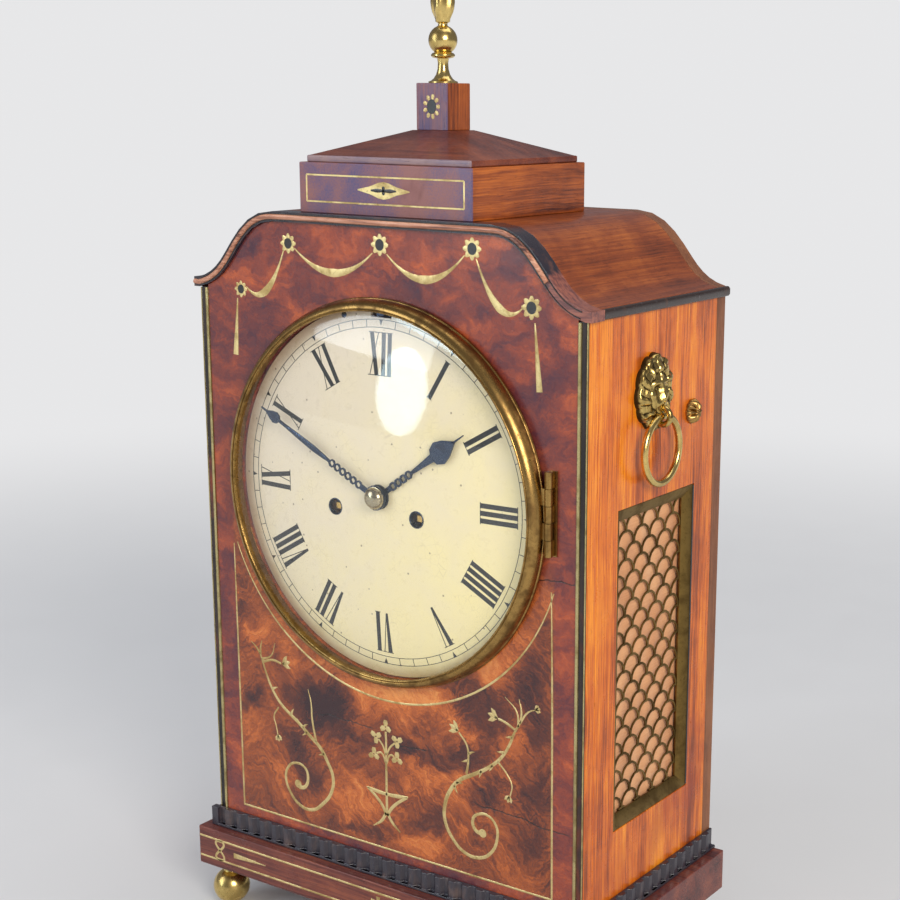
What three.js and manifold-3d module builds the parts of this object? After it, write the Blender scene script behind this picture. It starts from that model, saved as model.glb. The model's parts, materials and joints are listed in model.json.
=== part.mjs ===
// A bracket clock with an 8 inch dial: mahogany case, brass fittings and a two-train fusee movement.
// Millimetres, +Z up. The front faces -Y and the clock stands on z = 0.
// Every piece is drawn in one of two frames: the case frame, whose y is the depth behind the face of
// the front panel, and the dial frame, which has the same depths and its zero at the dial's centre.

import * as THREE from 'three';
import { mergeVertices } from 'three/addons/utils/BufferGeometryUtils.js';
import Module from 'manifold-3d';

const wasm = await Module();
wasm.setup();

// ---------------------------------------------------------------- driving sizes: case

const CASE_WIDTH = 264;
const CASE_DEPTH = 142;
const WALL = 10;                 // front panel, sides and back frame
const SEAT_GAP = 0.3;            // between pieces that are fitted into each other
const RUNNING_GAP = 0.8;         // round the rear door

const FOOT_BALL_RADIUS = 11.2;
const FOOT_HEIGHT = 28;
const FOOT_INSET = 13.2;         // from the plinth's edges to the foot's centre
const PLINTH_HEIGHT = 24.5;
const PLINTH_PROUD = 10;
const PLINTH_RAIL = 34;
const PLINTH_TOP_BOARD = 10;

const RIBBED_HEIGHT = 12;
const RIBBED_FILLET = 1.8;       // plain strip under the ribs
const RIBBED_BACKING = 1.6;
const RIB_PITCH = 9.5;
const RIB_WIDTH = 6.8;
const RIB_PROUD = 2.6;

const DIAL_HEIGHT = 226;         // dial centre above the plinth
const LIP_ABOVE_DIAL = 111;      // upper face of the eaves, above the dial's centre
const EDGE_BAND = 5.5;           // width of the moulding that follows the front's outline
const EDGE_PROUD = 2;
const EAVE_PROUD = 3;
const ROOF_THICKNESS = 8;
const CORNER_STRIP = 6;
// The shoulder as two cubic curves, in offsets from the lip's corner: sideways, up.
const SHOULDER = [[-58, 39.5], [-40, 39.5], [-31, 26.5], [-21.5, 14.5], [-16, 7.5], [-10, 2], [0, 0]];
const SHOULDER_STEPS = 5;

const CADDY_WIDTH = 116.5;
const CADDY_DEPTH = 106;
const CADDY_HEIGHT = 27;
const CADDY_SETBACK = 4;         // behind the face of the front panel
const CAP_INSET = 3;
const CAP_LIP = 3.6;
const PYRAMID_HEIGHT = 13.5;
const FINIAL_BLOCK = 21;
const FINIAL_BLOCK_HEIGHT = 25;
const FINIAL_HEIGHT = 64;

const FRET_WIDTH = 80;
const FRET_HEIGHT = 179;
const FRET_TOP_ABOVE_DIAL = 3.5;
const FRET_SLOPE = 7;            // width of the sloping frame round the pierced field
const FRET_FRAME_LIP = 1.2;
const FRET_FRAME_DEPTH = 5.5;
const FRET_PLATE = 1.6;
const FRET_COLUMNS = 4;
const FRET_HALF_ROWS = 21;
const FRET_BAR = 1.5;
const FRET_ARCH_STEPS = 3;
const FRET_SMALLEST_HOLE = 20;   // square millimetres; smaller corners stay solid
const SILK_THICKNESS = 1;

// ---------------------------------------------------------------- driving sizes: side fittings

const MASK_DEPTH_PLACE = 61.5;   // behind the front
const MASK_BOTTOM = 40.5;        // above the dial's centre
const MASK_HEIGHT = 43.5;
const MASK_WIDTH = 36;
const MASK_RELIEF = 7;
const EYE_ABOVE_DIAL = 50.2;
const EYE_RADIUS = 4.4;
const EYE_TUBE = 1.7;
const EYE_STANDOFF = 7.5;        // eye's centre outside the case
const RING_RADIUS = 18;
const RING_TUBE = 2;
const KNOB_DEPTH_PLACE = 106;
const KNOB_ABOVE_DIAL = 45.5;
const KNOB_RADIUS = 7.2;
const KNOB_PROUD = 6;
const KNOB_FLUTES = 10;

// ---------------------------------------------------------------- driving sizes: dial and bezel

const DIAL_OPENING = 104;
const DIAL_RADIUS = 103;
const DIAL_SHEET = 1.6;
const DIAL_EDGE_DEPTH = 1.4;     // the rim's front face behind the front panel's face
const DIAL_CROWN = 2.4;
const DIAL_FOOT_RADIUS = 2.5;
const DIAL_FEET = [[-52, -60], [52, -60], [-52, 62], [52, 62]];
const SLOT_RADIUS = 99.2;
const SLOT_WIDTH = 3.6;
const SLOT_LENGTH = 14;

const BEZEL_OUTER = 108;
const BEZEL_SIGHT = 101.5;
const BEZEL_PROUD = 10;
const BEZEL_GAP = 0.3;
const GLASS_THICKNESS = 2;
const GLASS_RIM_DEPTH = 8.2;     // front of the rim, in front of the panel
const GLASS_CROWN = 12.8;
const GLASS_RIM = 2.3;

const HINGE_AXIS_OUT = 111;      // sideways from the dial's centre
const HINGE_AXIS_PROUD = 3.2;
const HINGE_BARREL = 2.2;
const HINGE_PIN = 1;
const HINGE_CENTRE_UP = 6;
const HINGE_LENGTH = 45;
const HINGE_KNUCKLES = 5;
const HINGE_LEAF_WIDTH = 3.6;
const HINGE_LEAF = 0.8;

// ---------------------------------------------------------------- driving sizes: rear door

const DOOR_SIDE_MARGIN = 28;     // from the case's side to the door's opening
const DOOR_BOTTOM_MARGIN = 20;
const DOOR_TOP_MARGIN = 14;      // below the eaves
const DOOR_THICKNESS = 9;
const DOOR_RAIL = 22;
const DOOR_GLASS = 2;
const DOOR_REBATE = 4;
const PIVOT_RADIUS = 1.8;
const PIVOT_LENGTH = 7;
const CATCH_PROUD = 7;
const CATCH_RADIUS = 7;
const CATCH_SHAFT = 2;
const CATCH_TONGUE = 2.4;
const CATCH_REACH = 19;
const CATCH_INSET = 11;          // from the door's free edge

// ---------------------------------------------------------------- driving sizes: hands and motion work

const HOUR_HAND_LENGTH = 70.7;
const MINUTE_HAND_LENGTH = 91.5;
const HAND_SHEET = 1;
const HOUR_HAND_DEPTH = -4.4;
const MINUTE_HAND_DEPTH = -7;
const HAND_BOSS = 7;
const COLLET_RADIUS = 6.4;
const COLLET_HEIGHT = 4.6;
const SHOWN_MINUTES = 109.5;     // after twelve: ten minutes to two
const PIPE_WALL = 0.9;
const CENTRE_ARBOR = 1.2;
const ARBOR_GAP = 0.25;
const CANNON_TEETH = 24;
const HOUR_TEETH = 72;
const MOTION_PINION_TEETH = 6;
const MOTION_CENTRES = 22;
const MOTION_WHEEL = 1.5;
const MOTION_FRONT = 12.5;       // depth of the hour wheel's face

// ---------------------------------------------------------------- driving sizes: movement

const PLATE_HALF_WIDTH = 66;
const PLATE_BOTTOM = -72;
const PLATE_TOP = 80;
const PLATE = 3;
const FRONT_PLATE_DEPTH = 22;
const PLATE_SPACE = 54;
const PILLAR_RADIUS = 4;
const PILLARS = [[-61, -67], [61, -67], [-61, 52], [61, 52]];
const SEATBOARD = 9;
const SEATBOARD_RAIL = 12;

const WINDING_LEFT = [-32, -10];
const WINDING_RIGHT = [25, -9.5];
const WINDING_HOLE = 4.3;
const WINDING_SQUARE = 3.4;
const FUSEE_ARBOR = 2.5;
const FUSEE_SMALL = 9;
const FUSEE_LARGE = 18.5;
const FUSEE_TURNS = 3;
const BARREL_LEFT = [-44, -48];
const BARREL_RIGHT = [40, -48];
const BARREL_RADIUS = 19;
const CENTRE = [0, 0];
const THIRD = [-9, 22.6];
const ESCAPE = [0, 42];
const ANCHOR = [0, 63.5];
const PIN_WHEEL = [-44, 14.6];
const PALLET_WHEEL = [-38, 36];
const FLY = [-24, 50];
const HAMMER = [-54, 62];
const WHEEL = 1.5;
const PINION_TEETH = 6;
const PINION_LENGTH = 3;
const GREAT_TEETH = 72;
const STRIKE_GREAT_TEETH = 60;
const CENTRE_TEETH = 72;
const THIRD_TEETH = 66;
const ESCAPE_TEETH = 30;
const ESCAPE_RADIUS = 15;
const PIN_TEETH = 48;
const PALLET_TEETH = 42;
const TRAIN_ARBOR = 1;
const PIVOT = 0.6;

// Depths of the wheels behind the front plate's back face.
const FIRST_LAYER = 3;
const FLY_LAYER = 13;
const THIRD_LAYER = 20;
const ESCAPE_LAYER = 28;
const GREAT_LAYER = 49;

const COCK_DEPTH = 7;            // gap between the back plate and the back cock's bar
const COCK_BAR = 3;
const COCK_HALF_WIDTH = 16;
const CRUTCH_BEHIND_PLATE = 4;
const PENDULUM_BEHIND_PLATE = 14;
const SUSPENSION = [0, 71];
const PENDULUM_LENGTH = 205;
const PENDULUM_ROD = 1.5;
const BOB_RADIUS = 25;
const BOB_HALF_THICKNESS = 6;

const BELL_RADIUS = 42;
const BELL_HEIGHT = 28;
const BELL_WALL = 2;
const BELL_BOTTOM = 97;
const BELL_GAP = 2;

// ---------------------------------------------------------------- sizes that follow from them

const HALF_WIDTH = CASE_WIDTH / 2;
const PLINTH_TOP = FOOT_HEIGHT + PLINTH_HEIGHT;
const DIAL_Z = PLINTH_TOP + DIAL_HEIGHT;
const LIP_TOP = DIAL_Z + LIP_ABOVE_DIAL;
const LIP_BOTTOM = LIP_TOP - EDGE_BAND;
const ROOF_TOP = LIP_TOP + SHOULDER[0][1];
const BACK_FRAME_DEPTH = CASE_DEPTH - WALL;
const CADDY_Y = CADDY_SETBACK + CADDY_DEPTH / 2;
const CADDY_TOP = ROOF_TOP + CADDY_HEIGHT;
const CAP_TOP = CADDY_TOP + CAP_LIP + PYRAMID_HEIGHT;
const FINIAL_BLOCK_TOP = CAP_TOP + FINIAL_BLOCK_HEIGHT;
const FRET_CENTRE_Y = CASE_DEPTH / 2;
const FRET_CENTRE_Z = DIAL_Z + FRET_TOP_ABOVE_DIAL - FRET_HEIGHT / 2;
const FRONT_PROUD = GLASS_RIM_DEPTH + GLASS_CROWN;
const BACK_PLATE_DEPTH = FRONT_PLATE_DEPTH + PLATE + PLATE_SPACE;
const TRAIN_DEPTH = FRONT_PLATE_DEPTH + PLATE;
const PENDULUM_DEPTH = BACK_PLATE_DEPTH + PLATE + PENDULUM_BEHIND_PLATE;

// The front-to-back middle of everything, from the glass's crown to the rear catch, lies on y = 0.
const FACE_Y = -(CASE_DEPTH + CATCH_PROUD - FRONT_PROUD) / 2;

// ---------------------------------------------------------------- solids

function toSolid(geometry) {
  const bare = geometry.clone();
  bare.deleteAttribute('normal');
  bare.deleteAttribute('uv');
  const merged = mergeVertices(bare, 1e-4);
  const position = merged.attributes.position.array;
  const kept = [];
  const index = merged.index.array;
  let volume = 0;
  for (let i = 0; i < index.length; i += 3) {
    const [a, b, c] = [index[i], index[i + 1], index[i + 2]];
    if (a === b || b === c || c === a) continue;
    kept.push(a, b, c);
    const [p, q, r] = [a, b, c].map((k) => new THREE.Vector3().fromArray(position, 3 * k));
    volume += p.dot(q.cross(r));
  }
  if (volume < 0) kept.reverse();
  return new wasm.Manifold(new wasm.Mesh({
    numProp: 3,
    vertProperties: new Float32Array(position),
    triVerts: new Uint32Array(kept),
  }));
}

function toGeometry(solid) {
  const mesh = solid.getMesh();
  const geometry = new THREE.BufferGeometry();
  geometry.setAttribute('position', new THREE.BufferAttribute(new Float32Array(mesh.vertProperties), 3));
  geometry.setIndex(new THREE.BufferAttribute(new Uint32Array(mesh.triVerts), 1));
  geometry.computeVertexNormals();
  return geometry;
}

const join = (first, ...others) => others.reduce((sum, other) => sum.add(other), first);
const cut = (first, ...others) => others.reduce((rest, other) => rest.subtract(other), first);

// The same solid on the other side of the middle plane x = 0.
function mirrored(solid) {
  const geometry = toGeometry(solid).scale(-1, 1, 1);
  geometry.index.array.reverse();
  return toSolid(geometry);
}

function box(x0, x1, y0, y1, z0, z1) {
  const geometry = new THREE.BoxGeometry(x1 - x0, y1 - y0, z1 - z0);
  return toSolid(geometry.translate((x0 + x1) / 2, (y0 + y1) / 2, (z0 + z1) / 2));
}

// A block whose rectangle changes from bottom to top: half widths and half depths, round (x, y).
function taperedBlock(x, y, z0, z1, [w0, d0], [w1, d1]) {
  const geometry = new THREE.BoxGeometry(2, 2, z1 - z0).translate(0, 0, (z0 + z1) / 2);
  const position = geometry.attributes.position;
  for (let i = 0; i < position.count; i += 1) {
    const atTop = position.getZ(i) > (z0 + z1) / 2;
    position.setX(i, x + position.getX(i) * (atTop ? w1 : w0));
    position.setY(i, y + position.getY(i) * (atTop ? d1 : d0));
  }
  return toSolid(geometry);
}

const shapeOf = (points) => new THREE.Shape(points.map(([u, v]) => new THREE.Vector2(u, v)));
const circle = (radius, sides, [u, v] = [0, 0], turn = 0) => Array.from({ length: sides }, (_, i) => {
  const angle = turn + (2 * Math.PI * i) / sides;
  return [u + radius * Math.cos(angle), v + radius * Math.sin(angle)];
});

// Outline in x and z, pushed along y from one depth to another.
function slabY(outline, y0, y1, holes = []) {
  const shape = outline instanceof THREE.Shape ? outline : shapeOf(outline);
  holes.forEach((hole) => shape.holes.push(new THREE.Path(shapeOf(hole).getPoints())));
  const geometry = new THREE.ExtrudeGeometry(shape, { depth: y1 - y0, bevelEnabled: false });
  return toSolid(geometry.rotateX(Math.PI / 2).translate(0, y1, 0));
}

// Outline in y and z, pushed along x.
function slabX(outline, x0, x1, holes = []) {
  const shape = shapeOf(outline);
  holes.forEach((hole) => shape.holes.push(new THREE.Path(shapeOf(hole).getPoints())));
  const geometry = new THREE.ExtrudeGeometry(shape, { depth: x1 - x0, bevelEnabled: false });
  const turn = new THREE.Matrix4().makeBasis(
    new THREE.Vector3(0, 1, 0), new THREE.Vector3(0, 0, 1), new THREE.Vector3(1, 0, 0));
  return toSolid(geometry.applyMatrix4(turn).translate(x0, 0, 0));
}

// Outline in x and y, pushed up.
function slabZ(outline, z0, z1) {
  const geometry = new THREE.ExtrudeGeometry(shapeOf(outline), { depth: z1 - z0, bevelEnabled: false });
  return toSolid(geometry.translate(0, 0, z0));
}

// A turned piece: the profile lists radius and place along the axis.
function turned(profile, sides) {
  return new THREE.LatheGeometry(profile.map(([r, a]) => new THREE.Vector2(r, a)), sides);
}
const turnedY = (profile, sides, x = 0, z = 0) => toSolid(turned(profile, sides).translate(x, 0, z));
const turnedZ = (profile, sides, x = 0, y = 0) => (
  toSolid(turned(profile, sides).rotateX(Math.PI / 2).translate(x, y, 0)));
const rod = (r, y0, y1, [x, z], sides = 8) => (
  turnedY([[0, y0], [r, y0], [r, y1], [0, y1]], sides, x, z));
const post = (r, z0, z1, x, y, sides = 10) => (
  turnedZ([[0, z0], [r, z0], [r, z1], [0, z1]], sides, x, y));

// Rings of points closed by a point at each end, as [height, radius] levels on the z axis. The
// radius at each angle is scaled by lobes(angle, height).
function lobedColumn(levels, sides, lobes) {
  const vertices = [0, 0, levels[0][0]];
  levels.forEach(([height, radius]) => {
    for (let i = 0; i < sides; i += 1) {
      const angle = (2 * Math.PI * i) / sides;
      const r = radius * lobes(angle, height);
      vertices.push(r * Math.cos(angle), r * Math.sin(angle), height);
    }
  });
  const last = levels.length - 1;
  vertices.push(0, 0, levels[last][0]);
  const end = vertices.length / 3 - 1;
  const index = [];
  for (let i = 0; i < sides; i += 1) {
    const next = (i + 1) % sides;
    index.push(0, 1 + next, 1 + i);
    for (let level = 0; level < last; level += 1) {
      const low = 1 + level * sides;
      const high = low + sides;
      index.push(low + i, low + next, high + next, low + i, high + next, high + i);
    }
    index.push(end, 1 + last * sides + i, 1 + last * sides + next);
  }
  const geometry = new THREE.BufferGeometry();
  geometry.setAttribute('position', new THREE.Float32BufferAttribute(vertices, 3));
  geometry.setIndex(index);
  return geometry;
}

// ---------------------------------------------------------------- scene graph

const finish = (color, roughness, metalness = 0) => (
  new THREE.MeshStandardMaterial({ color, roughness, metalness }));
const mahogany = finish(0x7a2f24, 0.35);
const flame = finish(0x8a3a22, 0.3);
const honey = finish(0xb8611f, 0.4);
const ebonised = finish(0x2a2020, 0.45);
const brass = finish(0xb08a3e, 0.3, 1);
const movementBrass = finish(0xc9a552, 0.35, 1);
const steel = finish(0x8d9096, 0.3, 1);
const bluedSteel = finish(0x2c2f45, 0.3, 0.8);
const cream = finish(0xe9d9b4, 0.5);
const silk = finish(0xe5a872, 0.8);
const clearGlass = finish(0xdfe8ea, 0.05);

const clock = new THREE.Group();
const caseFrame = new THREE.Group();
caseFrame.position.set(0, FACE_Y, 0);
const dialFrame = new THREE.Group();
dialFrame.position.set(0, FACE_Y, DIAL_Z);
clock.add(caseFrame, dialFrame);

function add(group, name, solid, material, place = [0, 0, 0], turnY = 0) {
  const mesh = new THREE.Mesh(toGeometry(solid), material);
  mesh.name = name;
  mesh.position.set(...place);
  mesh.rotation.y = turnY;
  group.add(mesh);
}

// ---------------------------------------------------------------- case: base

function foot() {
  const ball = FOOT_BALL_RADIUS;
  const profile = [[0, 0]];
  for (let angle = -66; angle <= 60; angle += 21) {
    const turn = THREE.MathUtils.degToRad(angle);
    profile.push([ball * Math.cos(turn), ball + ball * Math.sin(turn)]);
  }
  profile[1][1] = 0;
  profile.push([4.4, FOOT_HEIGHT - 3.6], [9, FOOT_HEIGHT - 2.2], [9, FOOT_HEIGHT], [0, FOOT_HEIGHT]);
  return turnedZ(profile, 14);
}

function basePlinth() {
  const outer = HALF_WIDTH + PLINTH_PROUD;
  const inner = outer - PLINTH_RAIL;
  const block = box(-outer, outer, -PLINTH_PROUD, CASE_DEPTH, FOOT_HEIGHT, PLINTH_TOP);
  const hollow = box(-inner, inner, PLINTH_RAIL - PLINTH_PROUD, CASE_DEPTH - PLINTH_RAIL,
    FOOT_HEIGHT - 1, PLINTH_TOP - PLINTH_TOP_BOARD);
  return cut(block, hollow);
}

// Plan outline of a run of upright ribs on a thin backing, from 0 to length, facing -v.
function ribbedRun(length) {
  const count = Math.floor((length + 0.01) / RIB_PITCH);
  const start = (length - count * RIB_PITCH) / 2;
  const points = [];
  for (let rib = 0; rib < count; rib += 1) {
    const middle = start + (rib + 0.5) * RIB_PITCH;
    [180, 122, 58, 0].forEach((angle) => {
      const turn = THREE.MathUtils.degToRad(angle);
      points.push([middle + (RIB_WIDTH / 2) * Math.cos(turn), -RIBBED_BACKING - RIB_PROUD * Math.sin(turn)]);
    });
  }
  return points;
}

// One mitred length of the ribbed moulding along the front and both sides of the case.
function ribbedMoulding() {
  const reach = RIBBED_BACKING + RIB_PROUD;
  const bottom = PLINTH_TOP;
  const ribs = bottom + RIBBED_FILLET;
  const top = bottom + RIBBED_HEIGHT;
  const front = ribbedRun(CASE_WIDTH).map(([u, v]) => [u - HALF_WIDTH, v]);
  front.push([HALF_WIDTH, -RIBBED_BACKING], [HALF_WIDTH, 0], [-HALF_WIDTH, 0], [-HALF_WIDTH, -RIBBED_BACKING]);
  const side = ribbedRun(CASE_DEPTH).map(([u, v]) => [HALF_WIDTH - v, u]);
  side.push([HALF_WIDTH + RIBBED_BACKING, CASE_DEPTH], [HALF_WIDTH, CASE_DEPTH], [HALF_WIDTH, -1]);
  side.push([HALF_WIDTH + RIBBED_BACKING, -1]);
  const sideRun = slabZ(side, ribs - 0.5, top);
  const corner = box(HALF_WIDTH - 1, HALF_WIDTH + reach, -reach, 0, bottom, top);
  const strip = join(
    box(-HALF_WIDTH, HALF_WIDTH, -reach, 0, bottom, ribs),
    box(HALF_WIDTH, HALF_WIDTH + reach, -reach, CASE_DEPTH, bottom, ribs),
    box(-HALF_WIDTH - reach, -HALF_WIDTH, -reach, CASE_DEPTH, bottom, ribs));
  return join(slabZ(front, ribs - 0.5, top), strip, sideRun, mirrored(sideRun), corner, mirrored(corner));
}

// ---------------------------------------------------------------- case: body

// Right half of the front's outline, from the middle of the top to the lip, moved inwards.
function shoulderPoints(inset) {
  const at = ([u, v]) => new THREE.Vector2(HALF_WIDTH + u, LIP_TOP + v);
  const [a, b, c, d, e, f, g] = SHOULDER.map(at);
  const points = [];
  [new THREE.CubicBezierCurve(a, b, c, d), new THREE.CubicBezierCurve(d, e, f, g)].forEach((curve, half) => {
    for (let step = half; step <= SHOULDER_STEPS; step += 1) {
      const t = step / SHOULDER_STEPS;
      const p = curve.getPoint(t);
      const along = curve.getTangent(t);
      points.push([p.x + inset * along.y, p.y - inset * along.x]);
    }
  });
  return points;
}

// A block with the front's arched outline, from a flat bottom up, between two depths.
function archBlock(inset, bottom, y0, y1) {
  const right = shoulderPoints(inset);
  const edge = right[right.length - 1][0];
  const left = right.map(([x, z]) => [-x, z]).reverse();
  return slabY([...right, [edge, bottom], [-edge, bottom], ...left], y0, y1);
}

function frontPanel() {
  const half = HALF_WIDTH - CORNER_STRIP;
  const board = archBlock(EDGE_BAND, PLINTH_TOP, 0, WALL);
  const sawn = board.intersect(box(-half, half, -1, WALL + 1, PLINTH_TOP - 1, ROOF_TOP));
  return cut(sawn, slabY(circle(DIAL_OPENING, 60, [0, DIAL_Z]), -1, WALL + 1));
}

function topEdgeMoulding() {
  const lip = HALF_WIDTH + EAVE_PROUD;
  const arch = archBlock(0, LIP_BOTTOM, -EDGE_PROUD, WALL);
  const ends = box(-lip, lip, -EDGE_PROUD, WALL, LIP_BOTTOM, LIP_TOP);
  return cut(join(arch, ends), archBlock(EDGE_BAND, LIP_BOTTOM - WALL, -EDGE_PROUD - 1, WALL + 1));
}

function roof() {
  const outside = archBlock(0, LIP_BOTTOM, WALL, BACK_FRAME_DEPTH);
  return cut(outside, archBlock(ROOF_THICKNESS, LIP_BOTTOM - WALL, WALL - 1, BACK_FRAME_DEPTH + 1));
}

function eaveMoulding() {
  const out = HALF_WIDTH + EAVE_PROUD;
  const nose = [[HALF_WIDTH, LIP_BOTTOM], [out - 0.8, LIP_BOTTOM], [out, LIP_BOTTOM + 1.4],
    [out, LIP_TOP - 1.4], [out - 0.8, LIP_TOP], [HALF_WIDTH, LIP_TOP]];
  return slabY(nose, WALL, CASE_DEPTH);
}

function cornerStrip() {
  const x0 = HALF_WIDTH - CORNER_STRIP;
  const nose = 1.6;
  const plan = [[x0, 0], [HALF_WIDTH - nose, 0], [HALF_WIDTH - 0.3 * nose, 0.3 * nose],
    [HALF_WIDTH, nose], [HALF_WIDTH, WALL], [x0, WALL]];
  return slabZ(plan, PLINTH_TOP, LIP_BOTTOM);
}

const rectangle = (u0, u1, v0, v1) => [[u0, v0], [u1, v0], [u1, v1], [u0, v1]];

function sidePanel() {
  const halfWidth = FRET_WIDTH / 2 + SEAT_GAP;
  const halfHeight = FRET_HEIGHT / 2 + SEAT_GAP;
  const opening = rectangle(FRET_CENTRE_Y - halfWidth, FRET_CENTRE_Y + halfWidth,
    FRET_CENTRE_Z - halfHeight, FRET_CENTRE_Z + halfHeight);
  return slabX(rectangle(WALL, BACK_FRAME_DEPTH, PLINTH_TOP, LIP_BOTTOM),
    HALF_WIDTH - WALL, HALF_WIDTH, [opening]);
}

// ---------------------------------------------------------------- case: top

function caddyBlock() {
  return box(-CADDY_WIDTH / 2, CADDY_WIDTH / 2, CADDY_SETBACK, CADDY_SETBACK + CADDY_DEPTH,
    ROOF_TOP, CADDY_TOP);
}

function pyramidCap() {
  const halfWidth = CADDY_WIDTH / 2 - CAP_INSET;
  const halfDepth = CADDY_DEPTH / 2 - CAP_INSET;
  const slab = box(-halfWidth, halfWidth, CADDY_Y - halfDepth, CADDY_Y + halfDepth,
    CADDY_TOP, CADDY_TOP + CAP_LIP);
  const seat = FINIAL_BLOCK / 2 + 1.5;
  const pyramid = taperedBlock(0, CADDY_Y, CADDY_TOP + CAP_LIP, CAP_TOP,
    [halfWidth - 1.2, halfDepth - 1.2], [seat, seat]);
  return join(slab, pyramid);
}

function finialBlock() {
  const half = FINIAL_BLOCK / 2;
  return box(-half, half, CADDY_Y - half, CADDY_Y + half, CAP_TOP, FINIAL_BLOCK_TOP);
}

// Turned stem, ring and ball, with a twisted flame above.
function finial() {
  const ball = 7.85;
  const ballCentre = 22.6;
  const profile = [[0, 0], [8, 0], [5.4, 2.6], [2.9, 8], [3.1, 13]];
  profile.push([6.5, 14.4], [6.5, 15.6], [5, 16.6]);
  for (let angle = -45; angle <= 65; angle += 22) {
    const turn = THREE.MathUtils.degToRad(angle);
    profile.push([ball * Math.cos(turn), ballCentre + ball * Math.sin(turn)]);
  }
  const neck = 30.6;
  profile.push([2.6, neck], [2.6, neck + 1.2], [0, neck + 1.2]);
  const height = FINIAL_HEIGHT - neck;
  const levels = [[0, 2.4], [0.07, 4.3], [0.22, 6], [0.4, 6.3], [0.58, 5.2], [0.76, 3.4], [0.9, 1.7], [1, 0.4]];
  const flameLevels = levels.map(([part, radius]) => [neck + part * height, radius]);
  const twist = (angle, z) => 1 + 0.16 * Math.cos(4 * angle - 0.09 * (z - neck));
  return join(turnedZ(profile, 16), toSolid(lobedColumn(flameLevels, 12, twist)));
}

// ---------------------------------------------------------------- case: frets and side fittings

// Keeps the part of a polygon on one side of a vertical or level line.
function clip(points, axis, limit, sign) {
  const inside = (p) => sign * (p[axis] - limit) <= 0;
  const kept = [];
  points.forEach((p, i) => {
    const q = points[(i + 1) % points.length];
    if (inside(p)) kept.push(p);
    if (inside(p) !== inside(q)) {
      const t = (limit - p[axis]) / (q[axis] - p[axis]);
      kept.push([p[0] + t * (q[0] - p[0]), p[1] + t * (q[1] - p[1])]);
    }
  });
  return kept;
}

// One scale-shaped hole round (0, 0): an arch above, two arches of the next row cutting in below.
function scaleHole(a, b) {
  const h = FRET_BAR / 2;
  const points = [];
  const start = h / (b - h);
  for (let step = 0; step <= FRET_ARCH_STEPS; step += 1) {
    const angle = start + (step * (Math.PI - 2 * start)) / FRET_ARCH_STEPS;
    points.push([(a - h) * Math.cos(angle), (b - h) * Math.sin(angle)]);
  }
  const cusp = Math.acos(a / (a + h));
  points.push([0, -b + (b + h) * Math.sin(cusp)]);
  return points;
}

function polygonArea(points) {
  return Math.abs(points.reduce((sum, [x, y], i) => {
    const [u, v] = points[(i + 1) % points.length];
    return sum + (x * v - u * y) / 2;
  }, 0));
}

function fretHoles(halfWidth, halfHeight) {
  const a = halfWidth / FRET_COLUMNS;
  const b = (2 * halfHeight) / FRET_HALF_ROWS;
  const holes = [];
  for (let row = -1; row <= FRET_HALF_ROWS; row += 1) {
    const shift = row % 2 === 0 ? 0 : a;
    for (let column = -1; column <= FRET_COLUMNS; column += 1) {
      const u = -halfWidth + a + 2 * a * column + shift;
      const v = -halfHeight + b * row;
      let hole = scaleHole(a, b).map(([x, y]) => [u + x, v + y]);
      hole = clip(clip(hole, 0, halfWidth - 0.4, 1), 0, 0.4 - halfWidth, -1);
      hole = clip(clip(hole, 1, halfHeight - 0.4, 1), 1, 0.4 - halfHeight, -1);
      if (hole.length > 2 && polygonArea(hole) > FRET_SMALLEST_HOLE) holes.push(hole);
    }
  }
  return holes;
}

// Sloping brass frame, flush with the side, round a pierced plate set back inside it.
function fret() {
  const halfWidth = FRET_WIDTH / 2;
  const halfHeight = FRET_HEIGHT / 2;
  const fieldWidth = halfWidth - FRET_SLOPE;
  const fieldHeight = halfHeight - FRET_SLOPE;
  const back = HALF_WIDTH - FRET_FRAME_DEPTH;
  const ring = slabX(rectangle(-halfWidth, halfWidth, -halfHeight, halfHeight), back, HALF_WIDTH);
  const turn = new THREE.Matrix4().makeBasis(
    new THREE.Vector3(0, 1, 0), new THREE.Vector3(0, 0, 1), new THREE.Vector3(1, 0, 0));
  const slope = toSolid(toGeometry(taperedBlock(0, 0, back + FRET_PLATE, HALF_WIDTH + 0.5,
    [fieldWidth, fieldHeight], [halfWidth - FRET_FRAME_LIP, halfHeight - FRET_FRAME_LIP])).applyMatrix4(turn));
  const open = slabX(rectangle(-fieldWidth, fieldWidth, -fieldHeight, fieldHeight), back - 1, back + FRET_PLATE + 1);
  const plate = slabX(rectangle(-fieldWidth - 1, fieldWidth + 1, -fieldHeight - 1, fieldHeight + 1),
    back, back + FRET_PLATE);
  const pierced = fretHoles(fieldWidth, fieldHeight).map((hole) => slabX(hole, back - 1, back + FRET_PLATE + 1));
  return join(cut(ring, slope, open), cut(plate, ...pierced));
}

function fretSilk() {
  const x1 = HALF_WIDTH - FRET_FRAME_DEPTH - SEAT_GAP;
  return slabX(rectangle(-FRET_WIDTH / 2, FRET_WIDTH / 2, -FRET_HEIGHT / 2, FRET_HEIGHT / 2),
    x1 - SILK_THICKNESS, x1);
}

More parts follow.
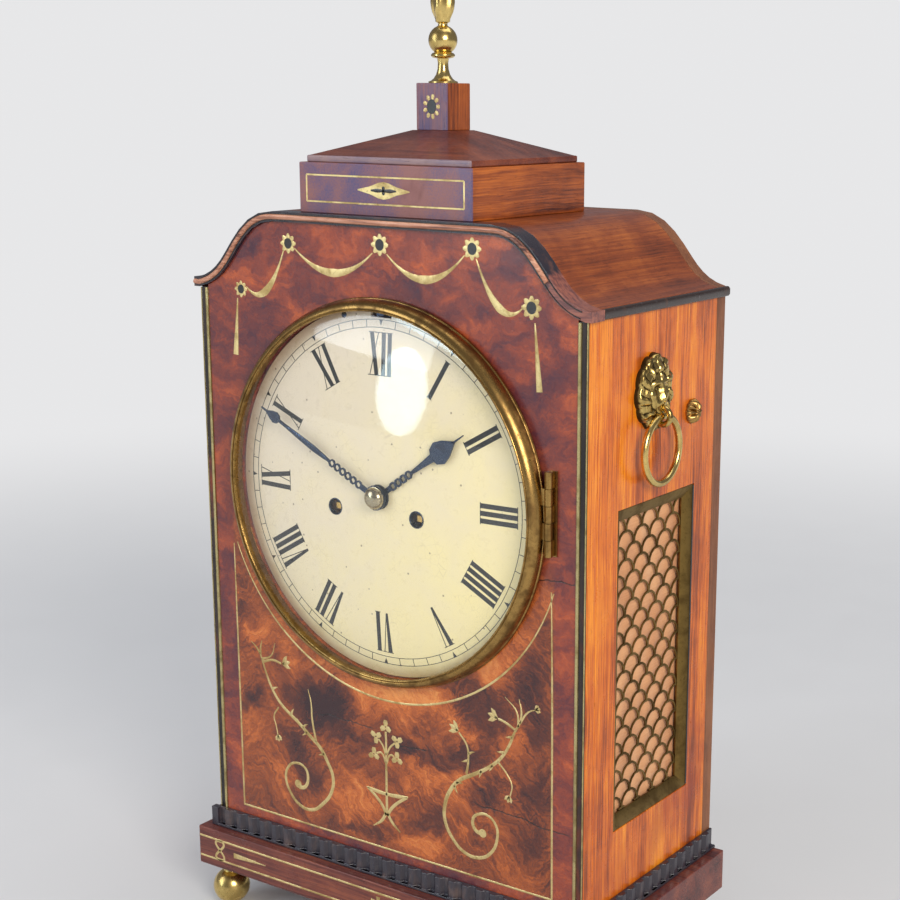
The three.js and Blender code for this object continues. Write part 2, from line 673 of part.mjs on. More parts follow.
// Height of the mask's relief over its flat back, for a place across and up, both from -1 to 1.
function maskRelief(u, v) {
  const bump = (cu, cv, ru, rv) => Math.exp(-(((u - cu) / ru) ** 2) - (((v - cv) / rv) ** 2));
  const brow = bump(0.3, 0.28, 0.26, 0.16) + bump(-0.3, 0.28, 0.26, 0.16);
  const eyes = bump(0.28, 0.08, 0.14, 0.1) + bump(-0.28, 0.08, 0.14, 0.1);
  const nose = bump(0, 0.02, 0.17, 0.36) + 0.8 * bump(0, -0.22, 0.26, 0.18);
  const mane = 0.16 * Math.cos(11 * Math.atan2(u, v + 0.1));
  return Math.max(0.25, 0.42 + 0.32 * brow - 0.22 * eyes + 0.55 * nose + mane * Math.hypot(u, v));
}

// A lion's mask: crested outline with mane locks, raised brow and muzzle, closed flat behind.
function handleMask() {
  const sides = 22;
  const rings = 4;
  const outline = (angle) => 0.9 + 0.07 * Math.cos(10 * angle) + 0.1 * Math.max(0, Math.sin(angle)) ** 6;
  const vertices = [0, 0, 0, MASK_RELIEF * maskRelief(0, 0), 0, 0];
  for (let ring = 1; ring <= rings; ring += 1) {
    for (let i = 0; i < sides; i += 1) {
      const angle = (2 * Math.PI * i) / sides;
      const reach = (outline(angle) * ring) / rings;
      const u = reach * Math.cos(angle);
      const v = reach * Math.sin(angle);
      const fall = Math.sqrt(Math.max(0, 1 - (ring / rings) ** 4));
      const height = MASK_RELIEF * (0.12 + 0.88 * fall * maskRelief(u, v));
      vertices.push(height, (u * MASK_WIDTH) / 2, (v * MASK_HEIGHT) / 2);
    }
  }
  for (let i = 0; i < sides; i += 1) {
    const rim = 2 + (rings - 1) * sides + i;
    vertices.push(0, vertices[3 * rim + 1], vertices[3 * rim + 2]);
  }
  const index = [];
  for (let i = 0; i < sides; i += 1) {
    const next = (i + 1) % sides;
    index.push(1, 2 + i, 2 + next);
    for (let ring = 0; ring < rings; ring += 1) {
      const inner = 2 + ring * sides;
      const outer = inner + sides;
      index.push(inner + i, outer + i, outer + next, inner + i, outer + next, inner + next);
    }
    index.push(0, 2 + rings * sides + next, 2 + rings * sides + i);
  }
  const geometry = new THREE.BufferGeometry();
  geometry.setAttribute('position', new THREE.Float32BufferAttribute(vertices, 3));
  geometry.setIndex(index);
  const faceCentre = DIAL_Z + MASK_BOTTOM + MASK_HEIGHT / 2;
  const face = toSolid(geometry.translate(HALF_WIDTH, MASK_DEPTH_PLACE, faceCentre));
  const clearForRing = turnedY([[0, -RING_RADIUS - 4], [RING_TUBE + 1, -RING_RADIUS - 4],
    [RING_TUBE + 1, RING_RADIUS + 4], [0, RING_RADIUS + 4]], 12, HALF_WIDTH + EYE_STANDOFF, 0);
  const hole = toSolid(toGeometry(clearForRing).translate(0, MASK_DEPTH_PLACE, DIAL_Z + EYE_ABOVE_DIAL));
  const room = box(HALF_WIDTH + EYE_STANDOFF - RING_TUBE - 0.9, HALF_WIDTH + EYE_STANDOFF + 9,
    MASK_DEPTH_PLACE - RING_RADIUS - 4, MASK_DEPTH_PLACE + RING_RADIUS + 4,
    DIAL_Z + EYE_ABOVE_DIAL - 2 * RING_RADIUS, DIAL_Z + EYE_ABOVE_DIAL + RING_TUBE + 1);
  const eye = toSolid(new THREE.TorusGeometry(EYE_RADIUS, EYE_TUBE, 7, 14).rotateX(Math.PI / 2)
    .translate(HALF_WIDTH + EYE_STANDOFF, MASK_DEPTH_PLACE, DIAL_Z + EYE_ABOVE_DIAL));
  const neck = box(HALF_WIDTH, HALF_WIDTH + EYE_STANDOFF - EYE_RADIUS, MASK_DEPTH_PLACE - EYE_TUBE,
    MASK_DEPTH_PLACE + EYE_TUBE, DIAL_Z + EYE_ABOVE_DIAL - 3, DIAL_Z + EYE_ABOVE_DIAL + 3);
  return join(cut(face, hole, room), neck, eye);
}

function handleRing() {
  return toSolid(new THREE.TorusGeometry(RING_RADIUS, RING_TUBE, 6, 24).rotateY(Math.PI / 2)
    .translate(0, 0, -RING_RADIUS));
}

function sideKnob() {
  const flute = Math.PI * KNOB_FLUTES;
  const levels = [[0, 1], [0.25, 1.06], [0.55, 0.86], [0.85, 0.5], [1, 0.16]];
  const lobes = (angle) => 0.94 + 0.06 * Math.cos((flute * angle) / Math.PI);
  const column = lobedColumn(levels.map(([h, r]) => [h * KNOB_PROUD, r * KNOB_RADIUS]), 2 * KNOB_FLUTES, lobes);
  return toSolid(column.rotateY(Math.PI / 2));
}

// ---------------------------------------------------------------- dial, bezel and glass

// Sagitta of a shallow dome with the given crown over the radius of its rim, at radius r.
const domeRise = (crown, rim, r) => crown * (1 - (r / rim) ** 2);

function domeSheet(rim, crown, frontDepth, thickness, steps, flange = 0) {
  const front = [];
  const back = [];
  for (let step = 0; step <= steps; step += 1) {
    const r = (rim * step) / steps;
    front.push([r, frontDepth - domeRise(crown, rim, r)]);
    back.unshift([r, frontDepth + thickness - domeRise(crown, rim, r)]);
  }
  if (flange > 0) {
    front.push([rim + flange, frontDepth]);
    back.unshift([rim + flange, frontDepth + thickness]);
  }
  return [...front, ...back];
}

function dial() {
  const profile = domeSheet(DIAL_RADIUS, DIAL_CROWN, DIAL_EDGE_DEPTH, DIAL_SHEET, 2);
  const half = SLOT_LENGTH / SLOT_RADIUS / 2;
  const slot = [];
  for (let step = 0; step <= 2; step += 1) {
    const angle = Math.PI / 2 - half + step * half;
    slot.push([angle, SLOT_RADIUS + SLOT_WIDTH / 2]);
    slot.unshift([angle, SLOT_RADIUS - SLOT_WIDTH / 2]);
  }
  const slotOutline = slot.map(([angle, r]) => [r * Math.cos(angle), r * Math.sin(angle)]);
  const holes = [
    rod(HAND_BOSS - 1.6, -5, 6, CENTRE, 16),
    rod(WINDING_HOLE, -5, 6, WINDING_LEFT, 16),
    rod(WINDING_HOLE, -5, 6, WINDING_RIGHT, 16),
    slabY(slotOutline, -5, 6),
  ];
  const feet = DIAL_FEET.map((place) => rod(DIAL_FOOT_RADIUS,
    DIAL_EDGE_DEPTH + DIAL_SHEET / 2 - domeRise(DIAL_CROWN, DIAL_RADIUS, Math.hypot(...place)),
    FRONT_PLATE_DEPTH, place, 10));
  return join(cut(turnedY(profile, 36), ...holes), ...feet);
}

function bezelProfile() {
  const rebate = BEZEL_SIGHT + GLASS_RIM + SEAT_GAP;
  const ledge = -GLASS_RIM_DEPTH - SEAT_GAP;
  const o = BEZEL_OUTER;
  return [[rebate, -BEZEL_GAP], [o, -BEZEL_GAP], [o + 0.4, -3], [o - 0.9, -7.2],
    [o - 3.4, -BEZEL_PROUD], [BEZEL_SIGHT + 0.8, -BEZEL_PROUD], [BEZEL_SIGHT, -BEZEL_PROUD + 0.8],
    [BEZEL_SIGHT, ledge], [rebate, ledge], [rebate, -BEZEL_GAP]];
}

// Knuckles of the hinge alternate; even ones belong to the fixed leaf.
function hingeKnuckles(parity) {
  const length = HINGE_LENGTH / HINGE_KNUCKLES;
  const bottom = HINGE_CENTRE_UP - HINGE_LENGTH / 2;
  const knuckles = [];
  for (let k = parity; k < HINGE_KNUCKLES; k += 2) {
    const z0 = bottom + k * length + SEAT_GAP / 2;
    const z1 = bottom + (k + 1) * length - SEAT_GAP / 2;
    knuckles.push([z0, z1]);
  }
  return knuckles;
}

function bezel() {
  const ring = turnedY(bezelProfile(), 48);
  const lugs = hingeKnuckles(1).map(([z0, z1]) => join(
    post(HINGE_BARREL, z0, z1, HINGE_AXIS_OUT, -HINGE_AXIS_PROUD),
    box(BEZEL_OUTER - 2, HINGE_AXIS_OUT, -HINGE_AXIS_PROUD - 0.9, -HINGE_AXIS_PROUD + 0.9, z0, z1)));
  const bores = hingeKnuckles(1).map(([z0, z1]) => (
    post(HINGE_PIN + 0.25, z0 - 1, z1 + 1, HINGE_AXIS_OUT, -HINGE_AXIS_PROUD)));
  return cut(join(ring, ...lugs), ...bores);
}

function bezelHinge() {
  const bottom = HINGE_CENTRE_UP - HINGE_LENGTH / 2;
  const top = bottom + HINGE_LENGTH;
  const leaf = box(HINGE_AXIS_OUT - 1, HINGE_AXIS_OUT + HINGE_LEAF_WIDTH, -HINGE_LEAF, 0, bottom, top);
  const knuckles = hingeKnuckles(0).map(([z0, z1]) => join(
    post(HINGE_BARREL, z0, z1, HINGE_AXIS_OUT, -HINGE_AXIS_PROUD),
    box(HINGE_AXIS_OUT - 0.6, HINGE_AXIS_OUT + 1.4, -HINGE_AXIS_PROUD, 0, z0, z1)));
  const pin = post(HINGE_PIN, bottom + SEAT_GAP, top - SEAT_GAP, HINGE_AXIS_OUT, -HINGE_AXIS_PROUD);
  return join(leaf, ...knuckles, pin);
}

const bezelGlass = () => turnedY(
  domeSheet(BEZEL_SIGHT - 0.2, GLASS_CROWN, -GLASS_RIM_DEPTH, GLASS_THICKNESS, 4, GLASS_RIM), 32);

// ---------------------------------------------------------------- hands

// A hand in outline from its boss up: chain of small rings, blade, heart-shaped tip.
function hand(length, ringCount, ringRadius, ringStart, heart, depth) {
  const back = depth + HAND_SHEET;
  const pitch = 1.75 * ringRadius;
  const neck = rectangle(-1.5, 1.5, 0, ringStart - ringRadius + 0.8);
  const solids = [slabY(circle(HAND_BOSS, 16), depth, back), slabY(neck, depth, back)];
  const holes = [];
  for (let ring = 0; ring < ringCount; ring += 1) {
    const place = [0, ringStart + ring * pitch];
    solids.push(slabY(circle(ringRadius, 8, place, Math.PI / 8), depth, back));
    holes.push(slabY(circle(ringRadius - 0.9, 6, place), depth - 1, back + 1));
  }
  const bladeStart = ringStart + ringCount * pitch - ringRadius;
  const heartStart = length - heart.length;
  const blade = [[-0.8, bladeStart], [0.8, bladeStart], [heart.neck, heartStart + 1], [-heart.neck, heartStart + 1]];
  const bud = [[0, heartStart], [heart.width * 0.7, heartStart + 0.08 * heart.length],
    [heart.width, heartStart + 0.25 * heart.length], [heart.width * 0.75, heartStart + 0.45 * heart.length],
    [0.5, heartStart + 0.72 * heart.length], [0.25, length]];
  const outline = [...bud.slice(1), ...bud.slice(1).map(([u, v]) => [-u, v]).reverse(), bud[0]];
  solids.push(slabY(blade, depth, back), slabY(outline, depth, back));
  return cut(join(...solids), ...holes);
}

const CANNON_INSIDE = CENTRE_ARBOR + ARBOR_GAP;
const CANNON_OUTSIDE = CANNON_INSIDE + PIPE_WALL;
const HOUR_INSIDE = CANNON_OUTSIDE + ARBOR_GAP;
const HOUR_OUTSIDE = HOUR_INSIDE + PIPE_WALL;

function pipe(inside, outside, y0, y1) {
  return turnedY([[inside, y0], [outside, y0], [outside, y1], [inside, y1], [inside, y0]], 12);
}

function hourHand() {
  const plain = hand(HOUR_HAND_LENGTH, 4, 2.5, 12.8, { length: 26, width: 6.5, neck: 1 }, HOUR_HAND_DEPTH);
  return cut(plain, rod(HOUR_INSIDE, HOUR_HAND_DEPTH - 1, HOUR_HAND_DEPTH + 3, CENTRE, 16));
}

function minuteHand() {
  const plain = hand(MINUTE_HAND_LENGTH, 6, 2.4, 13, { length: 15, width: 3.4, neck: 0.8 }, MINUTE_HAND_DEPTH);
  return cut(plain, rod(CANNON_INSIDE, MINUTE_HAND_DEPTH - 1, MINUTE_HAND_DEPTH + 3, CENTRE, 16));
}

function handCollet() {
  const y = MINUTE_HAND_DEPTH;
  const r = COLLET_RADIUS;
  return turnedY([[0, y], [r, y], [r, y - 0.8], [0.86 * r, y - 0.5 * COLLET_HEIGHT],
    [0.55 * r, y - 0.86 * COLLET_HEIGHT], [0, y - COLLET_HEIGHT]], 20);
}

// ---------------------------------------------------------------- gearing

// Radii of a tooth's tip and root for a wheel of that many teeth and module.
const tipRadius = (teeth, module) => (teeth * module) / 2 + 0.75 * module;
const rootRadius = (teeth, module) => (teeth * module) / 2 - 1.25 * module;

// Outline of a wheel with one pointed tooth at the angle turn.
function wheelOutline(teeth, module, turn = 0) {
  const points = [];
  for (let tooth = 0; tooth < teeth; tooth += 1) {
    const step = (2 * Math.PI) / teeth;
    const angle = turn + tooth * step;
    const tip = tipRadius(teeth, module);
    const root = rootRadius(teeth, module);
    points.push([tip * Math.cos(angle), tip * Math.sin(angle)]);
    points.push([root * Math.cos(angle + step / 2), root * Math.sin(angle + step / 2)]);
  }
  return points;
}

// Pinion outline: narrow leaves with gaps between them.
function pinionOutline(leaves, module, turn = 0) {
  const points = [];
  const step = (2 * Math.PI) / leaves;
  const corners = [[-0.26, 'root'], [0, 'tip'], [0.26, 'root']];
  const radius = { tip: (leaves * module) / 2 + 0.7 * module, root: (leaves * module) / 2 - 1.1 * module };
  for (let leaf = 0; leaf < leaves; leaf += 1) {
    corners.forEach(([part, kind]) => {
      const angle = turn + (leaf + part) * step;
      points.push([radius[kind] * Math.cos(angle), radius[kind] * Math.sin(angle)]);
    });
  }
  return points;
}

const distance = ([x, z], [u, v]) => Math.hypot(x - u, z - v);
const direction = ([x, z], [u, v]) => Math.atan2(v - z, u - x);
const moduleFor = (from, to, teeth, leaves) => (2 * distance(from, to)) / (teeth + leaves);

// Windows between the spokes of a wheel.
function crossings(count, inner, outer, turn = 0) {
  const windows = [];
  for (let k = 0; k < count; k += 1) {
    const middle = turn + (2 * Math.PI * (k + 0.5)) / count;
    const wide = Math.PI / count;
    const at = (r, angle) => [r * Math.cos(angle), r * Math.sin(angle)];
    windows.push([at(inner, middle - wide * 0.5), at(outer, middle - wide * 0.8),
      at(outer, middle + wide * 0.8), at(inner, middle + wide * 0.5)]);
  }
  return windows;
}

function wheel(teeth, module, y0, turn, hub, spokes = 4) {
  const root = rootRadius(teeth, module);
  const windows = spokes > 0 ? crossings(spokes, hub, root - 2.2, turn) : [];
  return slabY(wheelOutline(teeth, module, turn), y0, y0 + WHEEL, windows);
}

const pinion = (module, y0, turn, leaves = PINION_TEETH) => (
  slabY(pinionOutline(leaves, module, turn), y0 - 0.75, y0 - 0.75 + PINION_LENGTH));

// Straight arbor from plate to plate, its ends running in the plates' holes.
function arbor(radius, front = TRAIN_DEPTH, back = BACK_PLATE_DEPTH) {
  return join(rod(radius, front + SEAT_GAP, back - SEAT_GAP, CENTRE, 8),
    rod(PIVOT, front - PLATE + SEAT_GAP, back + PLATE - SEAT_GAP, CENTRE, 6));
}

const LAYER = (depth) => TRAIN_DEPTH + depth;
const PITCH = (teeth) => (2 * Math.PI) / teeth;

// Each mesh is timed so that a wheel's tooth points into the middle of a pinion's gap.
const turnTowards = (from, to) => direction(from, to);
const pinionTurn = (own, wheelPlace, leaves) => direction(own, wheelPlace) + PITCH(leaves) / 2;

// ---------------------------------------------------------------- motion work

const MINUTE_STUD = [0, -MOTION_CENTRES];
const CANNON_MODULE = MOTION_CENTRES / CANNON_TEETH;
const HOUR_MODULE = (2 * MOTION_CENTRES) / (HOUR_TEETH + MOTION_PINION_TEETH);
const CANNON_DEPTH = MOTION_FRONT + MOTION_WHEEL + 3.5;

function cannonWheel() {
  const toothed = slabY(wheelOutline(CANNON_TEETH, CANNON_MODULE, -Math.PI / 2), CANNON_DEPTH, CANNON_DEPTH + MOTION_WHEEL);
  const tube = pipe(CANNON_INSIDE, CANNON_OUTSIDE, MINUTE_HAND_DEPTH + HAND_SHEET, CANNON_DEPTH + MOTION_WHEEL);
  return join(cut(toothed, rod(CANNON_INSIDE + 0.2, CANNON_DEPTH - 1, CANNON_DEPTH + 3, CENTRE, 16)), tube);
}

function minuteWheel() {
  const toothed = slabY(wheelOutline(CANNON_TEETH, CANNON_MODULE, Math.PI / 2 + PITCH(CANNON_TEETH) / 2),
    CANNON_DEPTH, CANNON_DEPTH + MOTION_WHEEL);
  const leaves = slabY(pinionOutline(MOTION_PINION_TEETH, HOUR_MODULE, Math.PI / 2 + PITCH(MOTION_PINION_TEETH) / 2),
    MOTION_FRONT - 0.5, CANNON_DEPTH);
  return cut(join(toothed, leaves), rod(0.75, MOTION_FRONT - 2, CANNON_DEPTH + 3, CENTRE, 8));
}

function hourWheel() {
  const toothed = slabY(wheelOutline(HOUR_TEETH, HOUR_MODULE, -Math.PI / 2), MOTION_FRONT, MOTION_FRONT + MOTION_WHEEL);
  const tube = pipe(HOUR_INSIDE, HOUR_OUTSIDE, HOUR_HAND_DEPTH + HAND_SHEET, MOTION_FRONT + MOTION_WHEEL);
  return join(cut(toothed, rod(HOUR_INSIDE + 0.2, MOTION_FRONT - 1, MOTION_FRONT + 3, CENTRE, 16)), tube);
}

// ---------------------------------------------------------------- movement: plates

const PIVOT_PLACES = [THIRD, ESCAPE, PIN_WHEEL, PALLET_WHEEL, FLY, HAMMER, BARREL_LEFT, BARREL_RIGHT];
const HOLE_SIDES = 6;            // the hole's flats, not its corners, clear the arbor
const pivotHole = (place, r = PIVOT + ARBOR_GAP, y0 = 0, y1 = CASE_DEPTH) => (
  rod(r / Math.cos(Math.PI / HOLE_SIDES), y0, y1, place, HOLE_SIDES));

function plateBlank(y0) {
  return slabY(rectangle(-PLATE_HALF_WIDTH, PLATE_HALF_WIDTH, PLATE_BOTTOM, PLATE_TOP), y0, y0 + PLATE);
}

function frontPlate() {
  const holes = [...PIVOT_PLACES, ANCHOR].map((place) => pivotHole(place));
  holes.push(pivotHole(CENTRE, CENTRE_ARBOR + ARBOR_GAP));
  holes.push(pivotHole(WINDING_LEFT, FUSEE_ARBOR + ARBOR_GAP), pivotHole(WINDING_RIGHT, FUSEE_ARBOR + ARBOR_GAP));
  const stud = join(rod(0.5, MOTION_FRONT - 0.5, FRONT_PLATE_DEPTH + 1, MINUTE_STUD, 8),
    rod(2, CANNON_DEPTH + MOTION_WHEEL + SEAT_GAP, FRONT_PLATE_DEPTH + 1, MINUTE_STUD));
  const leverStud = rod(LEVER_STUD, LEVER_DEPTH - 1, FRONT_PLATE_DEPTH + 1, LEVER_PIVOT);
  return join(cut(plateBlank(FRONT_PLATE_DEPTH), ...holes), stud, leverStud);
}

function backPlate() {
  const holes = PIVOT_PLACES.map((place) => pivotHole(place));
  holes.push(pivotHole(CENTRE), pivotHole(WINDING_LEFT), pivotHole(WINDING_RIGHT));
  holes.push(pivotHole(ANCHOR, TRAIN_ARBOR + 1));
  const pillars = PILLARS.map((place) => rod(PILLAR_RADIUS, FRONT_PLATE_DEPTH + PLATE, BACK_PLATE_DEPTH + 1, place));
  const rear = BACK_PLATE_DEPTH + PLATE;
  const [x, z] = ANCHOR;
  const bar = rear + COCK_DEPTH;
  const legs = [-1, 1].map((side) => box(x + side * COCK_HALF_WIDTH - 2.5, x + side * COCK_HALF_WIDTH + 2.5,
    rear - 1, bar + 1, z - 5, z + 5));
  const cross = cut(box(x - COCK_HALF_WIDTH - 2.5, x + COCK_HALF_WIDTH + 2.5, bar, bar + COCK_BAR, z - 5, z + 12),
    pivotHole(ANCHOR, PIVOT + ARBOR_GAP, bar - 1, bar + COCK_BAR + 1));
  const hook = box(-3, 3, bar + COCK_BAR - 1, PENDULUM_DEPTH + 1.2, SUSPENSION[1] + SEAT_GAP, z + 12);
  const standTop = BELL_BOTTOM + BELL_HEIGHT - BELL_WALL - SEAT_GAP;
  const strap = join(box(-4, 4, BACK_PLATE_DEPTH, rear, PLATE_TOP - 1, BELL_BOTTOM - 6),
    box(-4, 4, BELL_Y - 4, rear, BELL_BOTTOM - 9, BELL_BOTTOM - 6),
    post(3, BELL_BOTTOM - 7, standTop, 0, BELL_Y));
  return join(cut(plateBlank(BACK_PLATE_DEPTH), ...holes), ...pillars, ...legs, cross, hook, strap);
}

// Shelf across the case that carries the movement, let into a rail on each side.
function seatboard() {
  const half = HALF_WIDTH - WALL;
  const top = PLATE_BOTTOM;
  const board = box(-half, half, FRONT_PLATE_DEPTH - 2, BACK_PLATE_DEPTH + PLATE + 4, top - SEATBOARD, top);
  const rails = [-1, 1].map((side) => box(side * half - (side > 0 ? SEATBOARD_RAIL : 0),
    side * half + (side > 0 ? 0 : SEATBOARD_RAIL), WALL, BACK_PLATE_DEPTH + PLATE + 20, top - SEATBOARD - 10, top - SEATBOARD + 1));
  return join(board, ...rails);
}

// ---------------------------------------------------------------- movement: going train

// Cone with a stepped groove for the line, its great wheel and the squared winding arbor.
function fusee(place, pinionPlace, teeth) {
  const small = TRAIN_DEPTH + 7;
  const large = TRAIN_DEPTH + GREAT_LAYER - 2;
  const profile = [[0, small], [FUSEE_SMALL - 1.5, small]];
  for (let turn = 0; turn < FUSEE_TURNS; turn += 1) {
    const along = (part) => small + ((large - small) * (turn + part)) / FUSEE_TURNS;
    const swell = ((turn + 0.5) / FUSEE_TURNS) ** 1.4;
    const radius = FUSEE_SMALL + (FUSEE_LARGE - FUSEE_SMALL) * swell;
    profile.push([radius, along(0.12)], [radius - 1.1, along(0.55)]);
  }
  profile.push([FUSEE_LARGE, large - 0.4], [FUSEE_LARGE, large], [0, large]);
  const cone = turnedY(profile, 14);
  const module = moduleFor(place, pinionPlace, teeth, PINION_TEETH);
  const great = slabY(wheelOutline(teeth, module, turnTowards(place, pinionPlace)),
    TRAIN_DEPTH + GREAT_LAYER, TRAIN_DEPTH + GREAT_LAYER + WHEEL);
  const stem = turnedY([[0, DIAL_EDGE_DEPTH + 8], [FUSEE_ARBOR, DIAL_EDGE_DEPTH + 8],
    [FUSEE_ARBOR, BACK_PLATE_DEPTH - SEAT_GAP], [PIVOT, BACK_PLATE_DEPTH - SEAT_GAP],
    [PIVOT, BACK_PLATE_DEPTH + PLATE - SEAT_GAP], [0, BACK_PLATE_DEPTH + PLATE - SEAT_GAP]], 10);
  const half = WINDING_SQUARE / 2;
  const square = box(-half, half, DIAL_EDGE_DEPTH - 1, DIAL_EDGE_DEPTH + 9, -half, half);
  return join(cone, great, stem, square);
}

function barrel() {
  const y0 = TRAIN_DEPTH + 5;
  const y1 = TRAIN_DEPTH + GREAT_LAYER - 3;
  const r = BARREL_RADIUS;
  const drum = turnedY([[0, y0], [r, y0], [r, y0 + 2], [r - 1, y0 + 2.4], [r - 1, y1 - 2.4],
    [r, y1 - 2], [r, y1], [0, y1]], 20);
  return join(drum, arbor(3));
}

function centreWheel() {
  const module = moduleFor(CENTRE, THIRD, CENTRE_TEETH, PINION_TEETH);
  const great = moduleFor(WINDING_RIGHT, CENTRE, GREAT_TEETH, PINION_TEETH);
  const stem = turnedY([[0, MINUTE_HAND_DEPTH + 0.2], [CENTRE_ARBOR, MINUTE_HAND_DEPTH + 0.2],
    [CENTRE_ARBOR, BACK_PLATE_DEPTH - SEAT_GAP], [PIVOT, BACK_PLATE_DEPTH - SEAT_GAP],
    [PIVOT, BACK_PLATE_DEPTH + PLATE - SEAT_GAP], [0, BACK_PLATE_DEPTH + PLATE - SEAT_GAP]], 10);
  return join(wheel(CENTRE_TEETH, module, LAYER(FIRST_LAYER), turnTowards(CENTRE, THIRD), 4),
    pinion(great, LAYER(GREAT_LAYER), pinionTurn(CENTRE, WINDING_RIGHT, PINION_TEETH)), stem);
}

function thirdWheel() {
  const centre = moduleFor(CENTRE, THIRD, CENTRE_TEETH, PINION_TEETH);
  const escape = moduleFor(THIRD, ESCAPE, THIRD_TEETH, PINION_TEETH);
  return join(wheel(THIRD_TEETH, escape, LAYER(THIRD_LAYER), turnTowards(THIRD, ESCAPE), 4),
    pinion(centre, LAYER(FIRST_LAYER), pinionTurn(THIRD, CENTRE, PINION_TEETH)), arbor(TRAIN_ARBOR));
}

function escapeWheel() {
  const module = moduleFor(THIRD, ESCAPE, THIRD_TEETH, PINION_TEETH);
  const points = [];
  for (let tooth = 0; tooth < ESCAPE_TEETH; tooth += 1) {
    const angle = (tooth + 0.5) * PITCH(ESCAPE_TEETH) + Math.PI / 2;
    const root = angle + 0.42 * PITCH(ESCAPE_TEETH);
    points.push([ESCAPE_RADIUS * Math.cos(angle), ESCAPE_RADIUS * Math.sin(angle)]);
    points.push([(ESCAPE_RADIUS - 2.4) * Math.cos(root), (ESCAPE_RADIUS - 2.4) * Math.sin(root)]);
  }
  const disc = slabY(points, LAYER(ESCAPE_LAYER), LAYER(ESCAPE_LAYER) + WHEEL, crossings(4, 3, ESCAPE_RADIUS - 4.6));
  return join(disc, pinion(module, LAYER(THIRD_LAYER), pinionTurn(ESCAPE, THIRD, PINION_TEETH)), arbor(TRAIN_ARBOR));
}

// Anchor with two pallets over the escape wheel, its arbor and the crutch behind the back plate.
function anchor() {
  const reach = ESCAPE_RADIUS + 1.2;
  const drop = ANCHOR[1] - ESCAPE[1];
  const arm = [[-3, 3.5], [3, 3.5], [9, -3]];
  const palletAngle = THREE.MathUtils.degToRad(46);
  const px = reach * Math.sin(palletAngle);
  const pz = -drop + reach * Math.cos(palletAngle);
  const body = [...arm, [px + 2.6, pz + 1.6], [px + 0.5, pz + 0.4], [px - 1.4, pz + 2.6], [7, -4.5], [0, -1.8]];
  const half = slabY([[0, 3.5], ...body.slice(1)], LAYER(ESCAPE_LAYER) - 0.75, LAYER(ESCAPE_LAYER) + 2.25);
  const rear = BACK_PLATE_DEPTH + PLATE;
  const stem = turnedY([[0, FRONT_PLATE_DEPTH + SEAT_GAP], [PIVOT, FRONT_PLATE_DEPTH + SEAT_GAP],
    [PIVOT, TRAIN_DEPTH + SEAT_GAP], [TRAIN_ARBOR, TRAIN_DEPTH + SEAT_GAP],
    [TRAIN_ARBOR, rear + COCK_DEPTH - SEAT_GAP], [PIVOT, rear + COCK_DEPTH - SEAT_GAP],
    [PIVOT, rear + COCK_DEPTH + COCK_BAR - SEAT_GAP], [0, rear + COCK_DEPTH + COCK_BAR - SEAT_GAP]], 8);
  const y = rear + CRUTCH_BEHIND_PLATE;
  const tail = -44;
  const crutch = join(box(-1, 1, y - 0.8, y + 0.8, tail, 1.2),
    box(-3.4, 3.4, y - 0.8, y + 0.8, tail - 2, tail),
    box(-3.4, -2, y - 0.8, PENDULUM_DEPTH + 1.5, tail - 2, tail),
    box(2, 3.4, y - 0.8, PENDULUM_DEPTH + 1.5, tail - 2, tail));
  return join(half, mirrored(half), stem, crutch);
}

// Spring, rod and lens-shaped bob, hanging from the back cock.
function pendulum() {
  const spring = box(-1.8, 1.8, -0.3, 0.3, -14, 0);
  const stem = post(PENDULUM_ROD, -PENDULUM_LENGTH - BOB_RADIUS + 6, -12, 0, 0, 10);
  const profile = [[0, -BOB_HALF_THICKNESS], [BOB_RADIUS * 0.6, -BOB_HALF_THICKNESS * 0.78],
    [BOB_RADIUS, -0.6], [BOB_RADIUS, 0.6], [BOB_RADIUS * 0.6, BOB_HALF_THICKNESS * 0.78], [0, BOB_HALF_THICKNESS]];
  const bob = turnedY(profile, 24, 0, -PENDULUM_LENGTH);
  const nut = post(3, -PENDULUM_LENGTH - BOB_RADIUS - 5, -PENDULUM_LENGTH - BOB_RADIUS + 1, 0, 0, 10);
  return join(spring, stem, bob, nut);
}

// ---------------------------------------------------------------- movement: strike

function pinWheel() {
  const great = moduleFor(WINDING_LEFT, PIN_WHEEL, STRIKE_GREAT_TEETH, PINION_TEETH);
  const module = moduleFor(PIN_WHEEL, PALLET_WHEEL, PIN_TEETH, PINION_TEETH);
  const disc = wheel(PIN_TEETH, module, LAYER(FIRST_LAYER), turnTowards(PIN_WHEEL, PALLET_WHEEL), 4, 4);
  const pins = circle(rootRadius(PIN_TEETH, module) - 1.2, 8, [0, 0], turnTowards(PIN_WHEEL, PALLET_WHEEL))
    .map((place) => rod(0.7, LAYER(FIRST_LAYER) + 0.5, LAYER(FIRST_LAYER) + 5, place, 4));
  return join(disc, ...pins,
    pinion(great, LAYER(GREAT_LAYER), pinionTurn(PIN_WHEEL, WINDING_LEFT, PINION_TEETH)), arbor(TRAIN_ARBOR));
}

function palletWheel() {
  const pin = moduleFor(PIN_WHEEL, PALLET_WHEEL, PIN_TEETH, PINION_TEETH);
  const fly = moduleFor(PALLET_WHEEL, FLY, PALLET_TEETH, PINION_TEETH);
  return join(wheel(PALLET_TEETH, fly, LAYER(FLY_LAYER), turnTowards(PALLET_WHEEL, FLY), 4),
    pinion(pin, LAYER(FIRST_LAYER), pinionTurn(PALLET_WHEEL, PIN_WHEEL, PINION_TEETH)), arbor(TRAIN_ARBOR));
}

